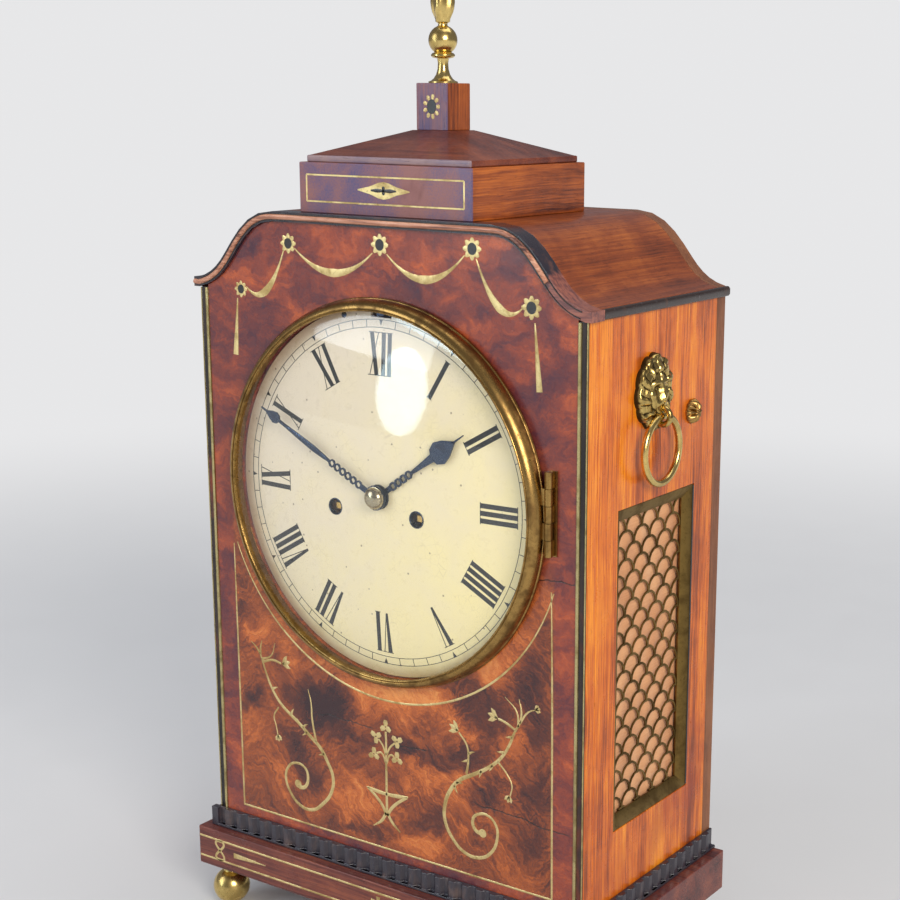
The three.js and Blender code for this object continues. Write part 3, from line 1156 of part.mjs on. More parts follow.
function fly() {
  const module = moduleFor(PALLET_WHEEL, FLY, PALLET_TEETH, PINION_TEETH);
  const vane = box(-0.4, 0.4, LAYER(ESCAPE_LAYER) + 4, LAYER(GREAT_LAYER) - 3, -8.5, 8.5);
  return join(pinion(module, LAYER(FLY_LAYER), pinionTurn(FLY, PALLET_WHEEL, PINION_TEETH)), vane, arbor(TRAIN_ARBOR));
}

const BELL_Y = TRAIN_DEPTH + 27;

function bell() {
  const r = BELL_RADIUS;
  const h = BELL_HEIGHT;
  const outside = [[r, 0], [r - 3.5, 0.36 * h], [r - 9, 0.7 * h], [r - 19, 0.92 * h], [4, h]];
  const inside = outside.map(([u, v]) => [u - BELL_WALL * (u > 4 ? 1 : 0), v > 0 ? v - BELL_WALL * 0.8 : 0]).reverse();
  const ring = [...outside, [3 + ARBOR_GAP, h], [3 + ARBOR_GAP, h - BELL_WALL * 0.8], ...inside.slice(1), outside[0]];
  return turnedZ(ring, 20);
}

// Arbor, arm and head: the head stands just outside the bell's rim, the tail near the pins.
function hammer() {
  const armY = BELL_Y;
  const headInner = -(BELL_RADIUS + BELL_GAP) - HAMMER[0];
  const headZ = BELL_BOTTOM + 2.5 - HAMMER[1];
  const arm = box(-1.2, 1.2, armY - 1.2, armY + 1.2, 0, headZ + 2);
  const head = turnedZ([[0, headZ - 3], [3.4, headZ - 3], [3.4, headZ + 3], [0, headZ + 3]], 10, headInner - 3.6, armY);
  const foot2 = box(headInner - 5, 1.2, armY - 1.2, armY + 1.2, headZ - 1.2, headZ + 1.2);
  const tail = box(-0.9, 0.9, LAYER(FIRST_LAYER) + 2.2, LAYER(FIRST_LAYER) + 4.4, -18, 0);
  return join(arm, head, foot2, tail, arbor(TRAIN_ARBOR));
}

// ---------------------------------------------------------------- strike/silent lever

const LEVER_PIVOT = [0, 58];
const LEVER_DEPTH = 6;
const LEVER_SHEET = 1.4;
const LEVER_STUD = 2;

function strikeSilentLever() {
  const reach = SLOT_RADIUS - LEVER_PIVOT[1];
  const eye = slabY(circle(5, 16), LEVER_DEPTH, LEVER_DEPTH + LEVER_SHEET);
  const arm = box(-2, 2, LEVER_DEPTH, LEVER_DEPTH + LEVER_SHEET, 2, reach + 2);
  const pointer = box(-2.4, 2.4, DIAL_EDGE_DEPTH - 1.4, LEVER_DEPTH + 0.5, reach - 1, reach + 1);
  return cut(join(eye, arm, pointer), rod(LEVER_STUD + ARBOR_GAP, LEVER_DEPTH - 1, LEVER_DEPTH + 3, CENTRE));
}

// ---------------------------------------------------------------- back frame and rear door

const DOOR_HALF = HALF_WIDTH - DOOR_SIDE_MARGIN - RUNNING_GAP;
const DOOR_BOTTOM = PLINTH_TOP + DOOR_BOTTOM_MARGIN + RUNNING_GAP;
const DOOR_TOP = LIP_BOTTOM - DOOR_TOP_MARGIN - RUNNING_GAP;
const DOOR_Y0 = CASE_DEPTH - DOOR_THICKNESS;
const PIVOT_Y = CASE_DEPTH - DOOR_THICKNESS / 2;
const PIVOT_X = DOOR_HALF - DOOR_THICKNESS / 2;
const CATCH_X = -DOOR_HALF + CATCH_INSET;
const CATCH_Z = (DOOR_BOTTOM + DOOR_TOP) / 2;

function backFrame() {
  const half = DOOR_HALF + RUNNING_GAP;
  const opening = box(-half, half, BACK_FRAME_DEPTH - 1, CASE_DEPTH + 1, DOOR_BOTTOM - RUNNING_GAP, DOOR_TOP + RUNNING_GAP);
  const bore = post(PIVOT_RADIUS + ARBOR_GAP, DOOR_BOTTOM - PIVOT_LENGTH, DOOR_TOP + PIVOT_LENGTH, PIVOT_X, PIVOT_Y);
  return cut(archBlock(0, PLINTH_TOP, BACK_FRAME_DEPTH, CASE_DEPTH), opening, bore);
}

function rearDoor() {
  const edge = post(DOOR_THICKNESS / 2, DOOR_BOTTOM, DOOR_TOP, PIVOT_X, PIVOT_Y, 16);
  const board = join(box(-DOOR_HALF, PIVOT_X, DOOR_Y0, CASE_DEPTH, DOOR_BOTTOM, DOOR_TOP), edge);
  const half = DOOR_HALF - DOOR_RAIL;
  const light = box(-half, half, DOOR_Y0 - 1, CASE_DEPTH + 1, DOOR_BOTTOM + DOOR_RAIL, DOOR_TOP - DOOR_RAIL);
  const wide = half + DOOR_REBATE;
  const rebate = box(-wide, wide, DOOR_Y0 - 1, DOOR_Y0 + DOOR_GLASS + 1,
    DOOR_BOTTOM + DOOR_RAIL - DOOR_REBATE, DOOR_TOP - DOOR_RAIL + DOOR_REBATE);
  const pins = post(PIVOT_RADIUS, DOOR_BOTTOM - PIVOT_LENGTH + 1, DOOR_TOP + PIVOT_LENGTH - 1, PIVOT_X, PIVOT_Y);
  const shaft = rod(CATCH_SHAFT + ARBOR_GAP, DOOR_Y0 - 1, CASE_DEPTH + 1, [CATCH_X, CATCH_Z]);
  return cut(join(board, pins), light, rebate, shaft);
}

function rearGlass() {
  const half = DOOR_HALF - DOOR_RAIL + DOOR_REBATE - SEAT_GAP;
  return box(-half, half, DOOR_Y0 + 1 - SEAT_GAP, DOOR_Y0 + 1 + DOOR_GLASS - SEAT_GAP,
    DOOR_BOTTOM + DOOR_RAIL - DOOR_REBATE + SEAT_GAP, DOOR_TOP - DOOR_RAIL + DOOR_REBATE - SEAT_GAP);
}

// Turn button outside, shaft through the door, tongue that turns behind the back frame.
function rearCatch() {
  const gap = 0.5;
  const inside = BACK_FRAME_DEPTH - gap;
  const stem = turnedY([[0, inside - CATCH_TONGUE], [CATCH_SHAFT, inside - CATCH_TONGUE],
    [CATCH_SHAFT, CASE_DEPTH + gap], [CATCH_RADIUS, CASE_DEPTH + gap], [CATCH_RADIUS, CASE_DEPTH + 1.8],
    [3, CASE_DEPTH + 2.4], [0, CASE_DEPTH + 2.4]], 18);
  const grip = turnedY([[0, CASE_DEPTH + 1], [2.6, CASE_DEPTH + 1], [2.6, CASE_DEPTH + CATCH_PROUD - 1],
    [1.6, CASE_DEPTH + CATCH_PROUD], [0, CASE_DEPTH + CATCH_PROUD]], 14);
  const tongue = box(-3, 3, inside - CATCH_TONGUE, inside, -3, CATCH_REACH);
  return join(stem, grip, tongue);
}

// ---------------------------------------------------------------- assembly

add(caseFrame, 'base_plinth', basePlinth(), mahogany);
const footX = HALF_WIDTH + PLINTH_PROUD - FOOT_INSET;
const footFront = FOOT_INSET - PLINTH_PROUD;
const footRear = CASE_DEPTH - FOOT_INSET;
add(caseFrame, 'foot_front_left', foot(), brass, [-footX, footFront, 0]);
add(caseFrame, 'foot_front_right', foot(), brass, [footX, footFront, 0]);
add(caseFrame, 'foot_rear_left', foot(), brass, [-footX, footRear, 0]);
add(caseFrame, 'foot_rear_right', foot(), brass, [footX, footRear, 0]);
add(caseFrame, 'ribbed_moulding', ribbedMoulding(), ebonised);
add(caseFrame, 'side_panel_right', sidePanel(), honey);
add(caseFrame, 'side_panel_left', mirrored(sidePanel()), honey);
add(caseFrame, 'front_panel', frontPanel(), flame);
add(caseFrame, 'corner_strip_right', cornerStrip(), ebonised);
add(caseFrame, 'corner_strip_left', mirrored(cornerStrip()), ebonised);
add(caseFrame, 'top_edge_moulding', topEdgeMoulding(), mahogany);
add(caseFrame, 'roof', roof(), mahogany);
add(caseFrame, 'eave_moulding_right', eaveMoulding(), ebonised);
add(caseFrame, 'eave_moulding_left', mirrored(eaveMoulding()), ebonised);
add(caseFrame, 'back_frame', backFrame(), mahogany);
add(caseFrame, 'caddy_block', caddyBlock(), mahogany);
add(caseFrame, 'pyramid_cap', pyramidCap(), mahogany);
add(caseFrame, 'finial_block', finialBlock(), mahogany);
add(caseFrame, 'finial', finial(), brass, [0, CADDY_Y, FINIAL_BLOCK_TOP]);

const fretPlace = [0, FRET_CENTRE_Y, FRET_CENTRE_Z];
add(caseFrame, 'fret_right', fret(), brass, fretPlace);
add(caseFrame, 'fret_left', mirrored(fret()), brass, fretPlace);
add(caseFrame, 'fret_silk_right', fretSilk(), silk, fretPlace);
add(caseFrame, 'fret_silk_left', mirrored(fretSilk()), silk, fretPlace);
add(caseFrame, 'handle_mask_right', handleMask(), brass);
add(caseFrame, 'handle_mask_left', mirrored(handleMask()), brass);
const eyeX = HALF_WIDTH + EYE_STANDOFF;
const eyeZ = DIAL_Z + EYE_ABOVE_DIAL;
add(caseFrame, 'handle_ring_right', handleRing(), brass, [eyeX, MASK_DEPTH_PLACE, eyeZ]);
add(caseFrame, 'handle_ring_left', handleRing(), brass, [-eyeX, MASK_DEPTH_PLACE, eyeZ]);
add(caseFrame, 'side_knob', sideKnob(), brass, [HALF_WIDTH, KNOB_DEPTH_PLACE, DIAL_Z + KNOB_ABOVE_DIAL]);

add(caseFrame, 'rear_door', rearDoor(), mahogany);
add(caseFrame, 'rear_glass', rearGlass(), clearGlass);
add(caseFrame, 'rear_catch', rearCatch(), brass, [CATCH_X, 0, CATCH_Z]);

add(dialFrame, 'bezel', bezel(), brass);
add(dialFrame, 'bezel_glass', bezelGlass(), clearGlass);
add(dialFrame, 'bezel_hinge', bezelHinge(), brass);
add(dialFrame, 'dial', dial(), cream);
add(dialFrame, 'strike_silent_lever', strikeSilentLever(), bluedSteel, [LEVER_PIVOT[0], 0, LEVER_PIVOT[1]]);

const minuteTurn = THREE.MathUtils.degToRad((SHOWN_MINUTES % 60) * 6);
const hourTurn = THREE.MathUtils.degToRad(SHOWN_MINUTES / 2);
add(dialFrame, 'hour_hand', hourHand(), bluedSteel, [0, 0, 0], hourTurn);
add(dialFrame, 'minute_hand', minuteHand(), bluedSteel, [0, 0, 0], minuteTurn);
add(dialFrame, 'hand_collet', handCollet(), brass);
add(dialFrame, 'cannon_wheel', cannonWheel(), movementBrass);
add(dialFrame, 'minute_wheel', minuteWheel(), movementBrass, [MINUTE_STUD[0], 0, MINUTE_STUD[1]]);
add(dialFrame, 'hour_wheel', hourWheel(), movementBrass);

add(dialFrame, 'front_plate', frontPlate(), movementBrass);
add(dialFrame, 'back_plate', backPlate(), movementBrass);
add(dialFrame, 'seatboard', seatboard(), mahogany);

const at = ([x, z]) => [x, 0, z];
add(dialFrame, 'going_fusee', fusee(WINDING_RIGHT, CENTRE, GREAT_TEETH), movementBrass, at(WINDING_RIGHT));
add(dialFrame, 'going_barrel', barrel(), movementBrass, at(BARREL_RIGHT));
add(dialFrame, 'centre_wheel', centreWheel(), movementBrass, at(CENTRE));
add(dialFrame, 'third_wheel', thirdWheel(), movementBrass, at(THIRD));
add(dialFrame, 'escape_wheel', escapeWheel(), movementBrass, at(ESCAPE));
add(dialFrame, 'anchor', anchor(), steel, at(ANCHOR));
add(dialFrame, 'pendulum', pendulum(), movementBrass, [SUSPENSION[0], PENDULUM_DEPTH, SUSPENSION[1]]);
add(dialFrame, 'strike_fusee', fusee(WINDING_LEFT, PIN_WHEEL, STRIKE_GREAT_TEETH), movementBrass, at(WINDING_LEFT));
add(dialFrame, 'strike_barrel', barrel(), movementBrass, at(BARREL_LEFT));
add(dialFrame, 'strike_pin_wheel', pinWheel(), movementBrass, at(PIN_WHEEL));
add(dialFrame, 'strike_pallet_wheel', palletWheel(), movementBrass, at(PALLET_WHEEL));
add(dialFrame, 'strike_fly', fly(), movementBrass, at(FLY));
add(dialFrame, 'strike_hammer', hammer(), steel, at(HAMMER));
add(dialFrame, 'bell', bell(), steel, [0, BELL_Y, BELL_BOTTOM]);

export default clock;
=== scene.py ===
# %% [markdown]
# # An inlaid mahogany bracket clock
# The clock's frame arrives packed, with every board, wheel and hinge at its real size and place.
# This lesson dresses it: veneers, brass lines let into the wood, a painted dial behind a domed
# glass, pierced brass frets over silk, and cast handles. Each step says what the real piece is,
# how it could be made in Blender, and why it is made the way it is here.

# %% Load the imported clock
import json
import math

import bpy
from mathutils import Matrix, Vector

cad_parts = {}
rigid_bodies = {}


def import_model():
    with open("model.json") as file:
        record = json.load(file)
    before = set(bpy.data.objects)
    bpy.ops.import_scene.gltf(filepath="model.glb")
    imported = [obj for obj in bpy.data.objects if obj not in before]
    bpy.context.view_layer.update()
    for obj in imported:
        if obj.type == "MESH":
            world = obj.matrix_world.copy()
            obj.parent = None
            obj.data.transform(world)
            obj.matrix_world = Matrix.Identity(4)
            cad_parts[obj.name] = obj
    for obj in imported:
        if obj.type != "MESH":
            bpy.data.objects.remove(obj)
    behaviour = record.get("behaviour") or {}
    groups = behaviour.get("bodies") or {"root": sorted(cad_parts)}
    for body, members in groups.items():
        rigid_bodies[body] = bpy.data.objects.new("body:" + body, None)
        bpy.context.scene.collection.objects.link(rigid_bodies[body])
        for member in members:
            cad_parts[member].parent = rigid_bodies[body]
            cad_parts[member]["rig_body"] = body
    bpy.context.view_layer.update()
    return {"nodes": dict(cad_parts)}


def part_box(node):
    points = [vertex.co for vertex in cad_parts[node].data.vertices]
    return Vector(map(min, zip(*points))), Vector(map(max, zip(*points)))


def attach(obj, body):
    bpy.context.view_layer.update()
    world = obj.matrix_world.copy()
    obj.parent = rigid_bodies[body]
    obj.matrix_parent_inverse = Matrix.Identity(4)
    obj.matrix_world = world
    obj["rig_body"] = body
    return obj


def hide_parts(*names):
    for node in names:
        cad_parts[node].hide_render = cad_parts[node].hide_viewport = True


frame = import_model()
nodes = frame["nodes"]
bpy.ops.object.select_all(action="DESELECT")
MM = 0.001

# %% [markdown]
# ## Where the clock's main faces are
# The dial's centre, the face of the front board, the case's half width and the height of the eaves
# are used again and again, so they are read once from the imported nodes. Lengths in this file are
# in millimetres, and are turned into metres only where Blender takes them.

# %% The clock's own landmarks
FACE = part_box("front_panel")[0].y / MM
PLINTH_TO_DIAL = 226
DIAL_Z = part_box("base_plinth")[1].z / MM + PLINTH_TO_DIAL
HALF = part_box("side_panel_right")[1].x / MM
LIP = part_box("eave_moulding_right")[1].z / MM
print("face", round(FACE, 2), "dial centre", round(DIAL_Z, 2), "half width", round(HALF, 2), "lip", LIP)

# %% [markdown]
# ## The camera
# The clock was photographed from the right and a little above, with the frame cut off-centre, so
# the lens has a small shift. A turn, a tilt and a slight roll were worked out from the case's
# straight edges, and they give the camera's three axes.

# %% The photograph's camera
YAW, PITCH, ROLL = -0.5829, -0.2304, 0.0083
EYE = 0.5788, -0.7676, 0.4945
FOCAL, SENSOR = 68.23, 36
ahead = Vector((math.sin(YAW) * math.cos(PITCH), math.cos(YAW) * math.cos(PITCH), math.sin(PITCH)))
level = Vector((math.cos(YAW), -math.sin(YAW), 0))
above = level.cross(ahead)
right = math.cos(ROLL) * level + math.sin(ROLL) * above
upright = math.cos(ROLL) * above - math.sin(ROLL) * level
lens = bpy.data.cameras.new("camera")
lens.lens, lens.sensor_width = FOCAL, SENSOR
lens.shift_x, lens.shift_y = -0.1206, 0.0455
lens.clip_start, lens.clip_end = 0.05, 60
camera = bpy.data.objects.new("camera", lens)
bpy.context.scene.collection.objects.link(camera)
camera.matrix_world = Matrix((
    (right.x, upright.x, -ahead.x, EYE[0]),
    (right.y, upright.y, -ahead.y, EYE[1]),
    (right.z, upright.z, -ahead.z, EYE[2]),
    (0, 0, 0, 1)))
bpy.context.scene.camera = camera
print("lens", lens.lens, "shift", round(lens.shift_x, 3), round(lens.shift_y, 3))

# %% [markdown]
# ## Shader sums in plain Python
# A Blender material is a net of nodes. Here a small class stands for one node's output, so that a
# sum such as `1 - mask * 0.4` adds its own Math nodes, and a second class holds one finish and
# adds every other kind of node through a single method.


# %% A socket that can be used in sums
class Wire:
    def __init__(self, finish, socket):
        self.finish, self.socket = finish, socket

    def maths(self, operation, first, second=None):
        values = {0: first} if second is None else {0: first, 1: second}
        return self.finish.node("ShaderNodeMath", {"operation": operation}, values)

    def __add__(self, other):
        return self.maths("ADD", self, other)

    def __sub__(self, other):
        return self.maths("SUBTRACT", self, other)

    def __rsub__(self, other):
        return self.maths("SUBTRACT", other, self)

    def __mul__(self, other):
        return self.maths("MULTIPLY", self, other)

    def __truediv__(self, other):
        return self.maths("DIVIDE", self, other)

    def __pow__(self, other):
        return self.maths("POWER", self, other)

    def __abs__(self):
        return self.maths("ABSOLUTE", self)

    __radd__, __rmul__ = __add__, __mul__

    def either(self, other):
        return self.maths("MAXIMUM", self, other)

    def sine(self):
        return self.maths("SINE", self)

    def spread(self, low, high, to_low=0.0, to_high=1.0):
        """Low to high becomes to_low to to_high, with soft ends."""
        return self.finish.node("ShaderNodeMapRange", {"interpolation_type": "SMOOTHSTEP"}, {
            "Value": self, "From Min": low, "From Max": high, "To Min": to_low, "To Max": to_high})


print("sums ready")


# %% Colours from a paint chart
def rgb(r, g, b):
    """A colour as a paint chart gives it, 0 to 255, as the linear numbers that shaders use."""
    parts = [v / 255 / 12.92 if v <= 10 else ((v / 255 + 0.055) / 1.055) ** 2.4 for v in (r, g, b)]
    return (*parts, 1.0)


print("middle grey as shaders take it:", round(rgb(128, 128, 128)[0], 3))


# %% One finish
class Finish:
    def __init__(self, name, slot, **constants):
        self.material = bpy.data.materials.new(name)
        self.material.use_nodes = True
        self.material["slot"] = slot
        self.tree = self.material.node_tree
        self.shader = next(n for n in self.tree.nodes if n.type == "BSDF_PRINCIPLED")
        for socket, value in constants.items():
            self.shader.inputs[socket.replace("_", " ")].default_value = value

    def node(self, kind, settings=None, values=None, out=0):
        made = self.tree.nodes.new(kind)
        for key, value in (settings or {}).items():
            if key == "stops":
                band = made.color_ramp.elements
                while len(band) < len(value):
                    band.new(0.5)
                for stop, (at, colour) in zip(band, value):
                    stop.position, stop.color = at, colour
            else:
                setattr(made, key, value)
        for key, value in (values or {}).items():
            if isinstance(value, Wire):
                self.tree.links.new(value.socket, made.inputs[key])
            else:
                made.inputs[key].default_value = value
        return Wire(self, made.outputs[out])

    def here(self):
        """The piece's own coordinates, in metres."""
        return self.node("ShaderNodeTexCoord", out="Object")

    def place(self, centre=(0, 0, 0), turn=(0, 0, 0), size=(1, 1, 1), start=None):
        """The same about a centre, turned, in units of size, all given in millimetres."""
        return self.node("ShaderNodeMapping", {"vector_type": "TEXTURE"}, {
            "Vector": start or self.here(), "Location": [v * MM for v in centre],
            "Rotation": turn, "Scale": [v * MM for v in size]})

    def even(self, size):
        """The same, with one size in all three directions."""
        return self.place(size=(size,) * 3)

    def part(self, vector, axis):
        return self.node("ShaderNodeSeparateXYZ", {}, {0: vector}, "XYZ".index(axis))

    def pushed(self, vector, push, amount, middle=0.0):
        """Coordinates moved by a colour noise, which gives a pattern its wander."""
        if middle:
            push = self.node("ShaderNodeVectorMath", {"operation": "SUBTRACT"}, {0: push, 1: [middle] * 3})
        return self.node("ShaderNodeVectorMath", {"operation": "MULTIPLY_ADD"}, {
            0: push, 1: [amount] * 3, 2: vector})

    def noise(self, vector, detail=3.0, roughness=0.5, warp=0.0, out=0):
        return self.node("ShaderNodeTexNoise", {}, {
            "Vector": vector, "Scale": 1.0, "Detail": detail, "Roughness": roughness, "Distortion": warp}, out)

    def ramp(self, factor, *stops):
        return self.node("ShaderNodeValToRGB", {"stops": stops}, {0: factor})

    def mix(self, factor, first, second, how="MIX"):
        return self.node("ShaderNodeMix", {"data_type": "RGBA", "blend_type": how},
                         {0: factor, 6: first, 7: second}, 2)

    def distance(self, vector):
        return self.node("ShaderNodeVectorMath", {"operation": "LENGTH"}, {0: vector}, "Value")

    def bump(self, height, depth, strength=1.0):
        """Height 1 stands depth millimetres above height 0."""
        return self.node("ShaderNodeBump", {}, {
            "Height": height, "Distance": depth * MM, "Strength": strength})

    def surface(self, factor, first, second):
        """Sends a mix of two shaders to the output, in the place of the finish's own."""
        both = self.node("ShaderNodeMixShader", {}, {0: factor, 1: first, 2: second})
        output = next(n for n in self.tree.nodes if n.type == "OUTPUT_MATERIAL")
        self.tree.links.new(both.socket, output.inputs["Surface"])

    def put(self, **links):
        for socket, wire in links.items():
            self.tree.links.new(wire.socket, self.shader.inputs[socket.replace("_", " ")])
        return self


print("finishes ready")

# %% [markdown]
# ## Mahogany
# Mahogany's colour comes in three scales: broad bands across a board, fine fibres along it, and
# short dark pores. Each is the same noise, stretched a different amount along the grain. Old
# polish also has bruises and a waxy sheen that comes and goes.


# %% Straight-grained mahogany
def along(axis, across, length):
    return tuple(length if a == axis else across for a in "xyz")


def mahogany(name, slot, axis, light, middle, dark, bruise, contrast=1.0, gloss=0.30, front=None):
    """front: (y, dark, light) gives what lies before y in millimetres colours of its own: a real black stain on
    the corner strips, a painted cool reflection on the caddy, finial block and pyramid fronts.
    """
    wood = Finish(name, slot, Coat_Weight=0.22, Coat_Roughness=0.16, Specular_IOR_Level=0.32)
    drift = wood.noise(wood.even(90), 2, 0.5, 0.0, "Color")
    bent = wood.pushed(wood.here(), drift, 0.006)
    bands = wood.noise(wood.place(size=along(axis, 13, 420), start=bent), 4, 0.55)
    fibres = wood.noise(wood.place(size=along(axis, 1.0, 60), start=bent), 4, 0.66)
    flecks = wood.noise(wood.place(size=along(axis, 0.6, 6)), 2, 0.6)
    clouds = wood.noise(wood.place(size=(34, 34, 46)), 3, 0.6, 0.4)
    figure = (bands - 0.5) * (0.8 * contrast) + (fibres - 0.5) * (0.95 * contrast)
    colour = wood.ramp(figure + (clouds - 0.5) * 0.5 + 0.5, (0.22, dark), (0.48, middle), (0.76, light))
    # Before y: a real black stain on the corner strips, a painted cool reflection on the caddy, finial block and
    # pyramid fronts.
    if front:
        y, front_stain_and_sheen_dark, front_stain_and_sheen_light = front
        before_it = (wood.part(wood.here(), "Y") / MM).spread(y + 0.06, y - 0.02)
        cloudy = ((clouds - 0.5) * 3.0 + (fibres - 0.5) * 1.6 + 0.5).spread(0.0, 1.0)
        colour = wood.mix(before_it, colour, wood.mix(cloudy, front_stain_and_sheen_dark, front_stain_and_sheen_light))
    stained = wood.noise(wood.place(centre=(13, 5, 40), size=(70, 70, 90)), 4, 0.65, 0.8).spread(0.56, 0.72)
    colour = wood.mix(stained * 0.55, colour, bruise)
    pores = flecks.spread(0.40, 0.29)
    colour = wood.mix(pores * 0.42, colour, dark, "MULTIPLY")
    rubs = wood.noise(wood.even(9), 5, 0.7)
    wood.put(Base_Color=colour,
             Roughness=rubs.spread(0.3, 0.75, gloss - 0.06, gloss + 0.14) + pores * 0.1,
             Normal=wood.bump(fibres * 0.5 + clouds * 0.8 - pores * 0.35, 0.09, 0.8))
    return wood.material


print("mahogany recipe ready")

# %% The clock's mahoganies
HONEY = rgb(240, 146, 28), rgb(204, 98, 14), rgb(116, 46, 8), rgb(160, 60, 14), 1.25, 0.3
CADDY = rgb(190, 102, 34), rgb(146, 70, 24), rgb(74, 28, 14), rgb(84, 30, 18), 1.0, 0.34
# The violet and brown below colour the fronts of the caddy and finial block: a painted cool reflection on those
# faces, not their veneer.
FRONT_SHEEN_VIOLET, FRONT_SHEEN_BROWN = rgb(88, 76, 112), rgb(140, 92, 88)
BLACK_BEFORE = -63.0  # the corner strips are stained black before this y


def front_of(node, skin):
    """A y in mm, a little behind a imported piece's front face."""
    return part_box(node)[0].y / MM + skin


side_wood = mahogany("honey_side_veneer", "honey_mahogany", "z", *HONEY)
corner_wood = mahogany("corner_veneer", "honey_mahogany", "z", *HONEY,
                       (BLACK_BEFORE, rgb(24, 19, 19), rgb(50, 36, 32)))
roof_wood = mahogany("roof_veneer", "mahogany", "y", rgb(178, 98, 38), rgb(128, 60, 24),
                     rgb(66, 26, 14), rgb(60, 22, 16), 0.62, 0.34)
plain_wood = mahogany("plain_mahogany_across", "mahogany", "x", rgb(146, 80, 56), rgb(106, 52, 44),
                      rgb(52, 22, 24), rgb(72, 36, 46), 0.95, 0.3)
# The pyramid's front slope gets a grey violet of its own: a painted cool reflection.
cap_wood = mahogany("pyramid_mahogany_painted_front_sheen", "mahogany", "x", rgb(140, 72, 44), rgb(104, 48, 34),
                    rgb(58, 24, 20), rgb(76, 38, 40), 0.8, 0.4,
                    (front_of("pyramid_cap", 0.8), rgb(112, 98, 120), rgb(150, 124, 124)))
caddy_wood = mahogany("caddy_mahogany_painted_front_sheen", "mahogany", "y", *CADDY,
                      (front_of("caddy_block", 0.7), FRONT_SHEEN_VIOLET, FRONT_SHEEN_BROWN))
block_wood = mahogany("finial_block_mahogany_painted_front_sheen", "mahogany", "z", *CADDY,
                      (front_of("finial_block", 0.6), FRONT_SHEEN_VIOLET, FRONT_SHEEN_BROWN))
inside_wood = mahogany("unpolished_mahogany", "mahogany", "z", rgb(150, 98, 62), rgb(122, 74, 46),
                       rgb(74, 40, 26), rgb(84, 48, 32), 0.7, 0.6)
print("mahogany finishes:", [m.name for m in bpy.data.materials if "mahogany" in str(m.get("slot"))])

# %% [markdown]
# ## The flame veneer of the front
# The front board is covered with veneer cut from a crotch, where two limbs meet: orange clouds and
# near-black blotches below the dial, quiet plum-coloured wood above it and in the borders outside
# the inlaid line, its violet tinge partly a painted cool sheen. A pure noise would put the clouds
# anywhere, so soft patches, with their edges disturbed by noise, are laid where this figure has them.
# Three old hairline cracks run with the figure.

# %% Flame veneer
PATCHES = [  # x, height above the dial's centre, half width, half height, lean, amount (dark is below nought)
    (-47, -128, 26, 13, 0.35, -1.0), (-35, -142, 22, 9, -0.1, -0.7), (-103, -141, 12, 7, 0, -0.8),
    (-119, -104, 6, 20, 0, -0.9), (-104, -88, 10, 8, 0.4, -0.6), (-72, -160, 17, 12, 0.6, -0.6),
    (-60, -177, 15, 13, 0, -0.55), (16, -146, 30, 6, -0.12, -0.75), (62, -106, 26, 14, -0.5, -0.8),
    (28, -184, 13, 8, 0.5, -0.55), (70, -160, 17, 9, 0.4, -0.5), (95, -98, 16, 28, 0.2, -0.75),
    (51, -141, 17, 9, 0.3, -0.75), (103, -150, 11, 16, 0, -0.6), (97, -178, 14, 14, 0, -0.55),
    (112, -24, 9, 9, 0.6, -0.7), (-88, -64, 9, 14, 0.3, -0.5), (-20, -202, 26, 6, 0.1, -0.4),
    (18, -113, 52, 9, 0.08, 0.9), (-107, -157, 9, 12, 0, 0.5), (-80, -177, 11, 15, 0.3, 0.8),
    (-26, -182, 30, 15, 0.25, 0.75), (34, -154, 24, 9, 0.3, 0.7), (24, -198, 24, 8, 0.3, 0.8),
    (-96, -96, 11, 14, 0.4, 0.65), (77, -83, 16, 15, 0.75, 0.8), (50, -124, 13, 8, 0, 0.65),
    (88, -116, 9, 14, 0.1, 0.8), (51, -164, 9, 15, 0, 0.6), (-6, -124, 30, 7, -0.1, 0.6),
    (119, -22, 7, 10, 0, 0.5), (-70, -104, 16, 8, -0.9, 0.55), (80, -196, 20, 7, 0, 0.35)]
flame = Finish("flame_veneer", "flame_mahogany", Coat_Weight=0.4, Coat_Roughness=0.12, Specular_IOR_Level=0.35)
here = flame.here()
stirred = flame.pushed(here, flame.noise(flame.even(22), 4, 0.62, 0.4, "Color"), 0.034, 0.5)
figure = flame.noise(flame.place(size=(30, 60, 22), turn=(0, 0.4, 0), start=stirred), 3, 0.5) * 0.5
for x, up, wide, tall, lean, amount in PATCHES:
    spot = flame.distance(flame.place((x, 0, DIAL_Z + up), (0, -lean, 0), (wide, 1e4, tall), stirred))
    figure = figure + spot.spread(1.5, 0.1) * (amount * (0.42 if amount < 0 else 0.34))
print("patches laid:", len(PATCHES))

# %% Fibres and colours of the flame veneer
across, height = flame.part(here, "X") / MM, flame.part(here, "Z") / MM
swing = flame.noise(flame.even(70), 2).spread(0.42, 0.58)
leaning_left = flame.noise(flame.place(turn=(0, 0.75, 0), size=(26, 40, 1.7), start=stirred), 4, 0.6)
leaning_right = flame.noise(flame.place(turn=(0, -0.6, 0), size=(24, 40, 1.5), start=stirred), 4, 0.6)
fibres = leaning_left * (1 - swing) + leaning_right * swing
pores = flame.noise(flame.place(turn=(0, 0.5, 0), size=(4.5, 4, 0.8)), 2, 0.6).spread(0.40, 0.28)
from_dial = flame.distance(flame.place((0, 0, DIAL_Z), size=(1000, 1e9, 1000))) * 1000
ring = from_dial.spread(119.0, 117.0)
threads = flame.noise(flame.place(turn=(0, 0.12, 0), size=(18, 40, 0.55), start=stirred), 3, 0.6)
tone = figure + (fibres - 0.5) * 0.95 + (threads - 0.5) * 0.35 + ring * 0.16 + 0.2
